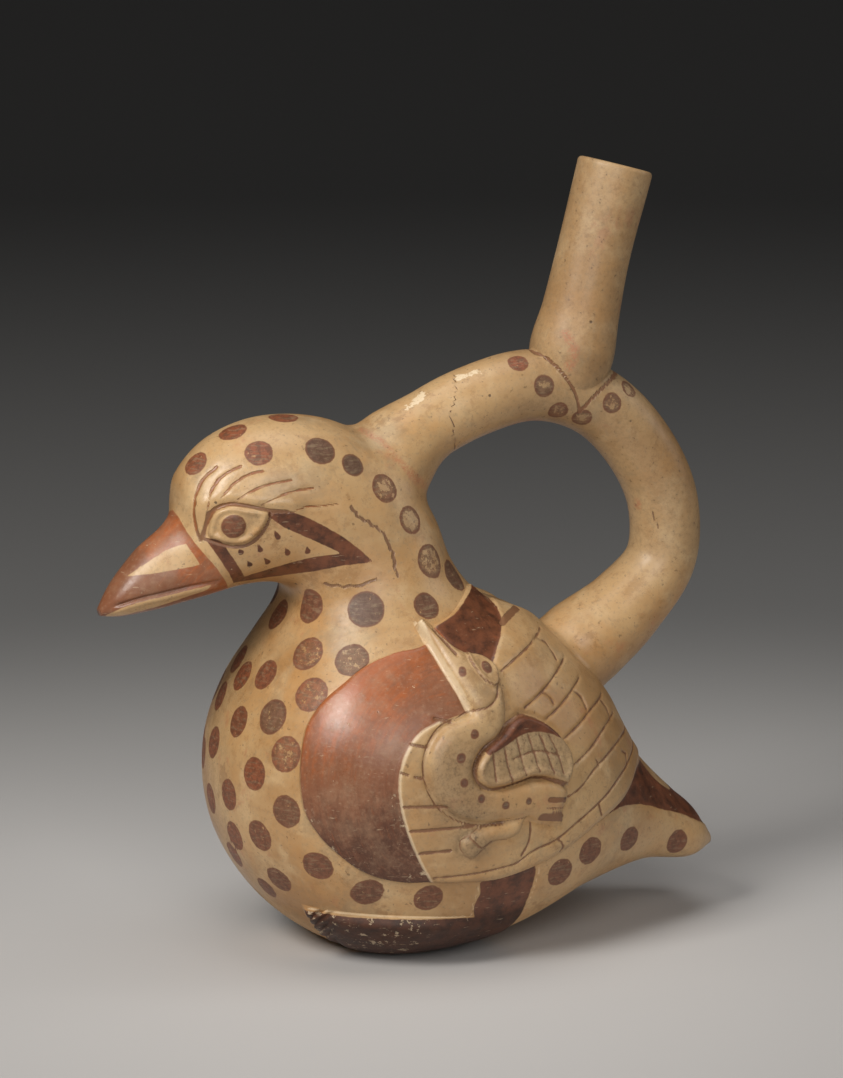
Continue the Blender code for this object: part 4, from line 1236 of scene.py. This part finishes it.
def brushed_mask_group() -> bpy.types.NodeTree:
    """A group that turns a painted distance into a mask with a hand-drawn edge.

    The distance in millimetres is shifted by a wobble, stepped over a soft edge, and thinned where the wear
    noise is high.

    Returns:
        The node group, with Distance, Wobble, Edge, Wear and Place in and Mask out.
    """
    tree = bpy.data.node_groups.new("brushed mask", "ShaderNodeTree")
    face = tree.interface
    face.new_socket("Distance", in_out="INPUT", socket_type="NodeSocketFloat")
    face.new_socket("Wobble", in_out="INPUT", socket_type="NodeSocketFloat")
    face.new_socket("Edge", in_out="INPUT", socket_type="NodeSocketFloat")
    face.new_socket("Wear", in_out="INPUT", socket_type="NodeSocketFloat")
    face.new_socket("Place", in_out="INPUT", socket_type="NodeSocketVector")
    face.new_socket("Mask", in_out="OUTPUT", socket_type="NodeSocketFloat")
    sheet = Sheet(tree)
    source, sink = sheet.add("NodeGroupInput"), sheet.add("NodeGroupOutput")
    wave = sheet.noise(source.outputs["Place"], 420.0, 2.0, 0.6)
    shift = sheet.math("MULTIPLY", sheet.math("SUBTRACT", wave, 0.5), source.outputs["Wobble"])
    distance = sheet.math("ADD", source.outputs["Distance"], shift)
    edge = source.outputs["Edge"]
    mask = sheet.ramp(distance, sheet.math("MULTIPLY", edge, -1.0), edge)
    bristle = sheet.noise(source.outputs["Place"], 1500.0, 5.0, 0.7)
    cover = sheet.ramp(bristle, sheet.math("SUBTRACT", source.outputs["Wear"], 0.06), sheet.math("ADD", source.outputs["Wear"], 0.06))
    tree.links.new(sheet.math("MULTIPLY", mask, cover), sink.inputs["Mask"])
    return tree


@dataclass(frozen=True)
class SlippedClay:
    """Fired clay under burnished cream slip, painted brown and red-brown, with dirt, wear and small pits, painted
    highlights on ridges and edges, and painted shade on the brown paint near the floor.
    """

    cream: Colour = srgb(198, 162, 116)
    light: Colour = srgb(216, 186, 143)
    tan: Colour = srgb(170, 127, 80)
    ochre: Colour = srgb(196, 144, 86)
    grey: Colour = srgb(146, 126, 98)
    umber: Colour = srgb(140, 98, 56)
    brown: Colour = srgb(118, 70, 46)
    deep: Colour = srgb(72, 43, 29)
    red: Colour = srgb(168, 93, 50)
    dusky: Colour = srgb(132, 84, 58)
    veil: Colour = srgb(176, 142, 112)
    ember: Colour = srgb(84, 50, 34)
    # Near-black of the painted shade on the brown paint near the floor.
    low_shade: Colour = srgb(30, 17, 10)
    spot_grey: Colour = srgb(96, 72, 58)
    spot_red: Colour = srgb(140, 74, 44)
    line_grey: Colour = srgb(118, 88, 66)
    line_warm: Colour = srgb(142, 82, 42)
    # Cream of the painted highlights, and of flakes, chips and scratches.
    pale: Colour = srgb(228, 204, 168)
    blush: Colour = srgb(180, 106, 76)
    pit: Colour = srgb(62, 46, 34)
    dirt: Colour = srgb(92, 72, 50)

    def mask(self, sheet: Sheet, group: bpy.types.NodeTree, place: object, name: str, wobble: float, edge: float, wear: object) -> bpy.types.NodeSocket:
        """The mask of one painted layer."""
        node = sheet.add("ShaderNodeGroup", node_tree=group)
        sheet.put(node.inputs["Distance"], sheet.layer(name))
        sheet.put(node.inputs["Wobble"], wobble)
        sheet.put(node.inputs["Edge"], edge)
        sheet.put(node.inputs["Wear"], wear)
        sheet.put(node.inputs["Place"], place)
        return node.outputs["Mask"]

    def material(self) -> bpy.types.Material:
        """The finish as a material on object coordinates and the painted attributes."""
        material = bpy.data.materials.new("painted slip")
        material.use_nodes = True
        sheet = Sheet(material.node_tree)
        shader = material.node_tree.nodes["Principled BSDF"]
        place = sheet.add("ShaderNodeTexCoord").outputs["Object"]
        group = brushed_mask_group()

        cloud = sheet.noise(place, 22.0, 5.0, 0.6, 0.4)
        patch = sheet.noise(place, 75.0, 4.0, 0.6, 0.2)
        grain = sheet.noise(place, 900.0, 4.0, 0.65)
        dust = sheet.noise(place, 260.0, 6.0, 0.7)
        clay = sheet.mix(sheet.ramp(cloud, 0.34, 0.62), self.tan, self.cream)
        clay = sheet.mix(sheet.math("MULTIPLY", sheet.ramp(patch, 0.5, 0.75), 0.55), clay, self.light)
        clay = sheet.mix(sheet.math("MULTIPLY", sheet.ramp(dust, 0.5, 0.76), 0.4), clay, self.tan)
        clay = sheet.mix(sheet.math("MULTIPLY", sheet.ramp(grain, 0.52, 0.7), 0.4), clay, self.grey)
        warm = sheet.ramp(sheet.noise(place, 30.0, 7.0, 0.7, 0.2), 0.5, 0.64)
        clay = sheet.mix(sheet.math("MULTIPLY", warm, 0.4), clay, self.ochre)
        fleck = sheet.ramp(sheet.noise(place, 170.0, 9.0, 0.8), 0.53, 0.6)
        clay = sheet.mix(sheet.math("MULTIPLY", fleck, 0.26), clay, self.umber)
        smudge = sheet.ramp(sheet.noise(place, 48.0, 9.0, 0.75, 0.2), 0.57, 0.63)
        clay = sheet.mix(sheet.math("MULTIPLY", smudge, 0.45), clay, self.umber)
        rosy = sheet.ramp(sheet.noise(place, 64.0, 9.0, 0.75, 0.1), 0.58, 0.66)
        clay = sheet.mix(sheet.math("MULTIPLY", rosy, 0.3), clay, self.blush)
        cool = sheet.ramp(sheet.noise(place, 38.0, 8.0, 0.72, 0.3), 0.52, 0.66)
        clay = sheet.mix(sheet.math("MULTIPLY", cool, 0.4), clay, self.grey)
        greying = sheet.layer("greying")
        clay = sheet.mix(sheet.math("MULTIPLY", greying, 0.5), clay, self.grey)
        speck = sheet.ramp(sheet.noise(place, 700.0, 8.0, 0.85), 0.44, 0.62)
        speck = sheet.math("MULTIPLY", sheet.ramp(greying, 0.3, 0.95), speck)
        clay = sheet.mix(sheet.math("MULTIPLY", speck, 0.5), clay, self.dirt)
        rare = sheet.ramp(sheet.noise(place, 700.0, 2.0, 0.6), 0.66, 0.74)
        clay = sheet.mix(sheet.math("MULTIPLY", rare, 0.45), clay, self.pit)

        around = sheet.add("ShaderNodeCombineXYZ")
        sheet.put(around.inputs["X"], sheet.layer("sweep"))
        sheet.put(around.inputs["Y"], sheet.math("MULTIPLY", sheet.layer("round"), 3.0))
        streak = sheet.noise(around.outputs["Vector"], 1.1, 4.0, 0.65)
        worn = sheet.layer("worn")
        uneven = sheet.math("ADD", sheet.math("SUBTRACT", dust, 0.5), sheet.math("SUBTRACT", streak, 0.5))
        depth = sheet.math("MULTIPLY_ADD", uneven, 0.75, sheet.layer("depth"))
        red_paint = sheet.mix(sheet.ramp(depth, 0.0, 0.5), self.red, self.dusky)
        red_paint = sheet.mix(sheet.ramp(depth, 0.5, 1.05), red_paint, self.ember)
        glow = sheet.ramp(streak, 0.55, 0.75)
        red_paint = sheet.mix(sheet.math("MULTIPLY", glow, 0.4), red_paint, self.red)
        red_paint = sheet.mix(sheet.math("MULTIPLY", sheet.ramp(grain, 0.5, 0.75), 0.3), red_paint, self.veil)
        haze = sheet.math("MULTIPLY", sheet.ramp(sheet.noise(place, 60.0, 8.0, 0.75), 0.45, 0.65), 0.28)
        red_paint = sheet.mix(haze, red_paint, self.veil)
        brown_paint = sheet.mix(sheet.ramp(dust, 0.35, 0.7), self.brown, self.deep)
        brown_paint = sheet.mix(sheet.math("MULTIPLY", sheet.ramp(patch, 0.55, 0.8), 0.35), brown_paint, self.red)
        # Painted shade: the brown paint darkens towards the floor.
        brown_paint = sheet.mix(sheet.math("MULTIPLY", sheet.layer("low_shade"), 0.6), brown_paint, self.low_shade)
        scratch = sheet.add("ShaderNodeMapping")
        sheet.put(scratch.inputs["Vector"], place)
        scratch.inputs["Rotation"].default_value = (0.0, 0.9, 0.3)
        scratch.inputs["Scale"].default_value = (260.0, 260.0, 1700.0)
        scored = sheet.noise(scratch.outputs["Vector"], 1.0, 3.0, 0.6)
        red = self.mask(sheet, group, place, "red", 0.5, 0.16, 0.22)
        brown = self.mask(sheet, group, place, "brown", 0.5, 0.16, 0.24)
        spot = self.mask(sheet, group, place, "spot", 0.7, 0.2, sheet.math("MULTIPLY_ADD", worn, 0.22, 0.28))
        line = self.mask(sheet, group, place, "fine_line", 0.5, 0.16, 0.3)
        pale = self.mask(sheet, group, place, "pale", 0.4, 0.3, 0.34)
        blush = self.mask(sheet, group, place, "blush", 2.4, 0.9, 0.47)
        flake = self.mask(sheet, group, place, "flake", 3.2, 0.2, 0.4)
        bite = sheet.math("MULTIPLY_ADD", worn, 0.3, sheet.noise(place, 430.0, 5.0, 0.7))
        hollow = sheet.ramp(bite, 0.64, 0.7)
        spot = sheet.math("MULTIPLY", spot, sheet.math("MULTIPLY_ADD", hollow, -0.8, 1.0))
        warmth = sheet.layer("warmth")
        spot_paint = sheet.mix(warmth, self.spot_grey, self.spot_red)
        spot_paint = sheet.mix(sheet.math("MULTIPLY", sheet.ramp(scored, 0.5, 0.64), 0.5), spot_paint, self.grey)
        dark_grain = sheet.ramp(sheet.noise(place, 620.0, 6.0, 0.8), 0.44, 0.58)
        spot_paint = sheet.mix(sheet.math("MULTIPLY", dark_grain, 0.62), spot_paint, self.deep)
        spot_rim = sheet.ramp(sheet.layer("spot"), 0.75, 0.25)
        spot_paint = sheet.mix(sheet.math("MULTIPLY", spot_rim, 0.6), spot_paint, self.brown)

        colour = sheet.mix(sheet.math("MULTIPLY", blush, 0.55), clay, self.blush)
        strength = sheet.math("MULTIPLY_ADD", worn, -0.4, 0.95)
        colour = sheet.mix(sheet.math("MULTIPLY", spot, strength), colour, spot_paint)
        colour = sheet.mix(red, colour, red_paint)
        colour = sheet.mix(brown, colour, brown_paint)
        # Painted highlight: the pale lines along ridges and edges.
        colour = sheet.mix(sheet.math("MULTIPLY", pale, 0.75), colour, self.pale)
        line_paint = sheet.mix(warmth, self.line_grey, self.line_warm)
        colour = sheet.mix(sheet.math("MULTIPLY", line, 0.92), colour, line_paint)
        colour = sheet.mix(flake, colour, self.pale)
        # Cream chips of worn paint, with the toe ridges lightened as painted highlight.
        ragged = sheet.math("MULTIPLY_ADD", sheet.layer("flaking_and_highlight"), 0.08, sheet.noise(place, 330.0, 9.0, 0.75))
        chips_and_highlight = sheet.ramp(ragged, 0.65, 0.69)
        painted = sheet.math("MAXIMUM", red, brown)
        colour = sheet.mix(sheet.math("MULTIPLY", sheet.math("MULTIPLY", chips_and_highlight, painted), 0.6), colour, self.pale)
        hair = sheet.math("MULTIPLY", sheet.ramp(scored, 0.66, 0.72), painted)
        colour = sheet.mix(sheet.math("MULTIPLY", hair, 0.3), colour, self.pale)
        pits = sheet.add("ShaderNodeTexVoronoi")
        sheet.put(pits.inputs["Vector"], place)
        sheet.put(pits.inputs["Scale"], 170.0)
        sparse = sheet.ramp(sheet.noise(place, 130.0, 1.0), 0.6, 0.64)
        pit = sheet.math("MULTIPLY", sheet.ramp(pits.outputs["Distance"], 0.1, 0.05, 0.0, 1.0), sparse)
        colour = sheet.mix(sheet.math("MULTIPLY", pit, 0.75), colour, self.pit)
        sheet.put(shader.inputs["Base Color"], colour)

        gloss = sheet.ramp(patch, 0.3, 0.7, 0.3, 0.42)
        gloss = sheet.math("ADD", gloss, sheet.math("MULTIPLY", greying, 0.15))
        gloss = sheet.math("ADD", gloss, sheet.math("MULTIPLY", spot, 0.14))
        gloss = sheet.math("ADD", gloss, sheet.math("MULTIPLY", sheet.layer("low_shade"), 0.25))
        gloss = sheet.math("ADD", gloss, sheet.math("MULTIPLY", sheet.math("SUBTRACT", grain, 0.5), 0.3))
        sheet.put(shader.inputs["Roughness"], gloss)

        height = sheet.math("MULTIPLY", sheet.noise(place, 55.0, 3.0, 0.5), 0.3)
        height = sheet.math("MULTIPLY_ADD", dust, 0.07, height)
        height = sheet.math("MULTIPLY_ADD", grain, 0.02, height)
        height = sheet.math("MULTIPLY_ADD", pit, -0.1, height)
        height = sheet.math("MULTIPLY_ADD", line, -0.2, height)
        height = sheet.math("MULTIPLY_ADD", chips_and_highlight, sheet.math("MULTIPLY", painted, -0.05), height)
        bump = sheet.add("ShaderNodeBump")
        bump.inputs["Strength"].default_value = 1.0
        bump.inputs["Distance"].default_value = MM
        sheet.put(bump.inputs["Height"], height)
        sheet.put(shader.inputs["Normal"], bump.outputs["Normal"])
        return material


# The studio


@dataclass
class Studio:
    """A pale floor with painted shade that darkens it away from the vessel, soft light from above and the left, and the
    camera of the photograph.
    """

    azimuth: float = -22.0
    elevation: float = 10.5
    distance: float = 1250.0
    target: tuple[float, float, float] = (-4.0, 0.0, 121.0)
    focal_px: float = 4168.0
    frame_px: float = 1078.0
    near_grey: Colour = srgb(198, 195, 193)
    # Greys that darken outwards: painted shade for the light's falloff across the paper.
    far_shaded_grey: Colour = srgb(122, 121, 120)
    wall_shaded_grey: Colour = srgb(84, 84, 84)

    def camera(self) -> None:
        """A camera that looks at the target from the photograph's side, height and distance."""
        turn, lift = math.radians(self.azimuth), math.radians(self.elevation)
        back = Vector((math.sin(turn) * math.cos(lift), -math.cos(turn) * math.cos(lift), math.sin(lift)))
        data = bpy.data.cameras.new("camera")
        data.sensor_fit = "VERTICAL"
        data.sensor_height = 36.0
        data.lens = 36.0 * self.focal_px / self.frame_px
        data.clip_end = 20.0
        thing = bpy.data.objects.new("camera", data)
        thing.location = (Vector(self.target) + back * self.distance) * MM
        thing.rotation_euler = back.to_track_quat("Z", "Y").to_euler()
        bpy.context.scene.collection.objects.link(thing)
        bpy.context.scene.camera = thing

    def lamp(self, name: str, place: tuple, size: float, power: float, colour: tuple) -> None:
        """A soft square lamp in millimetres that faces the vessel."""
        data = bpy.data.lights.new(name, "AREA")
        data.size = size * MM
        data.energy = power
        data.color = colour
        thing = bpy.data.objects.new(name, data)
        thing.location = Vector(place) * MM
        thing.rotation_euler = (Vector(place) - Vector((0, 0, 110))).to_track_quat("Z", "Y").to_euler()
        bpy.context.scene.collection.objects.link(thing)

    def build(self) -> None:
        """The round floor that curves up into a wall, its paper graded darker outwards as painted shade, the lights and
        the camera.
        """
        bend = np.linspace(0, math.pi / 2, 24)
        reach = np.concatenate([np.linspace(5, 2000, 12), 2200 + 1600 * np.sin(bend), [3800.0]])
        height = np.concatenate([np.zeros(12), 1600 - 1600 * np.cos(bend), [4200.0]])
        turn = np.linspace(0, 2 * math.pi, 72, endpoint=False)
        grid = np.stack([
            reach[:, None] * np.cos(turn),
            reach[:, None] * np.sin(turn),
            np.broadcast_to(height[:, None], (len(reach), 72)),
        ], -1)
        number = np.arange(grid[..., 0].size).reshape(grid.shape[:2])
        beside = np.roll(number, -1, axis=1)
        faces = np.stack([number[:-1], number[1:], beside[1:], beside[:-1]], -1).reshape(-1, 4).tolist()
        floor = new_mesh("floor", grid.reshape(-1, 3), faces + [number[0].tolist()])
        paper = bpy.data.materials.new("pale paper")
        paper.use_nodes = True
        shader = paper.node_tree.nodes["Principled BSDF"]
        sheet = Sheet(paper.node_tree)
        away = sheet.add("ShaderNodeVectorMath", operation="LENGTH")
        sheet.put(away.inputs[0], sheet.add("ShaderNodeTexCoord").outputs["Object"])
        # Painted shade: the paper darkens with distance from the vessel, out to the wall.
        grey = sheet.mix(sheet.ramp(away.outputs["Value"], 0.02, 0.54), self.near_grey, self.far_shaded_grey)
        grey = sheet.mix(sheet.ramp(away.outputs["Value"], 0.9, 4.2), grey, self.wall_shaded_grey)
        sheet.put(shader.inputs["Base Color"], grey)
        shader.inputs["Roughness"].default_value = 0.85
        floor.data.materials.append(paper)
        self.lamp("key lamp", (-880, -470, 900), 480, 11.6, (1.0, 0.98, 0.94))
        self.lamp("top lamp", (-40, -60, 1300), 800, 4.2, (1.0, 0.99, 0.97))
        self.lamp("right lamp", (950, -250, 520), 400, 1.0, (1.0, 0.98, 0.96))
        self.lamp("front lamp", (-300, -1250, 640), 700, 7.0, (1.0, 0.98, 0.95))
        world = bpy.data.worlds.new("studio")
        bpy.context.scene.world = world
        world.use_nodes = True
        world.node_tree.nodes["Background"].inputs["Color"].default_value = (0.85, 0.85, 0.85, 1.0)
        world.node_tree.nodes["Background"].inputs["Strength"].default_value = 0.08
        bpy.context.scene.view_settings.view_transform = "Standard"
        self.camera()


def main() -> None:
    """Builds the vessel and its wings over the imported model, and the studio round them."""
    logging.basicConfig(level=logging.INFO, format="%(message)s")
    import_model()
    skin = Skin()
    painting = Painting(skin)
    finish = SlippedClay().material()
    pieces = [
        Vessel(skin, painting).build(),
        Wing(skin, painting).build("left_wing", right=False),
        Wing(skin, painting).build("right_wing", right=True),
        Foot(skin, painting).build("left_foot", right=False),
        Foot(skin, painting).build("right_foot", right=True),
    ]
    for piece in pieces:
        piece.data.materials.clear()
        piece.data.materials.append(finish)
        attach(piece, "root")
        faces = sum(len(face.vertices) - 2 for face in piece.data.polygons)
        LOG.info("%s: %d triangles", piece.name, faces)
    for piece in pieces:
        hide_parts(NODE)
    Studio().build()


if __name__ == "__main__":
    main()
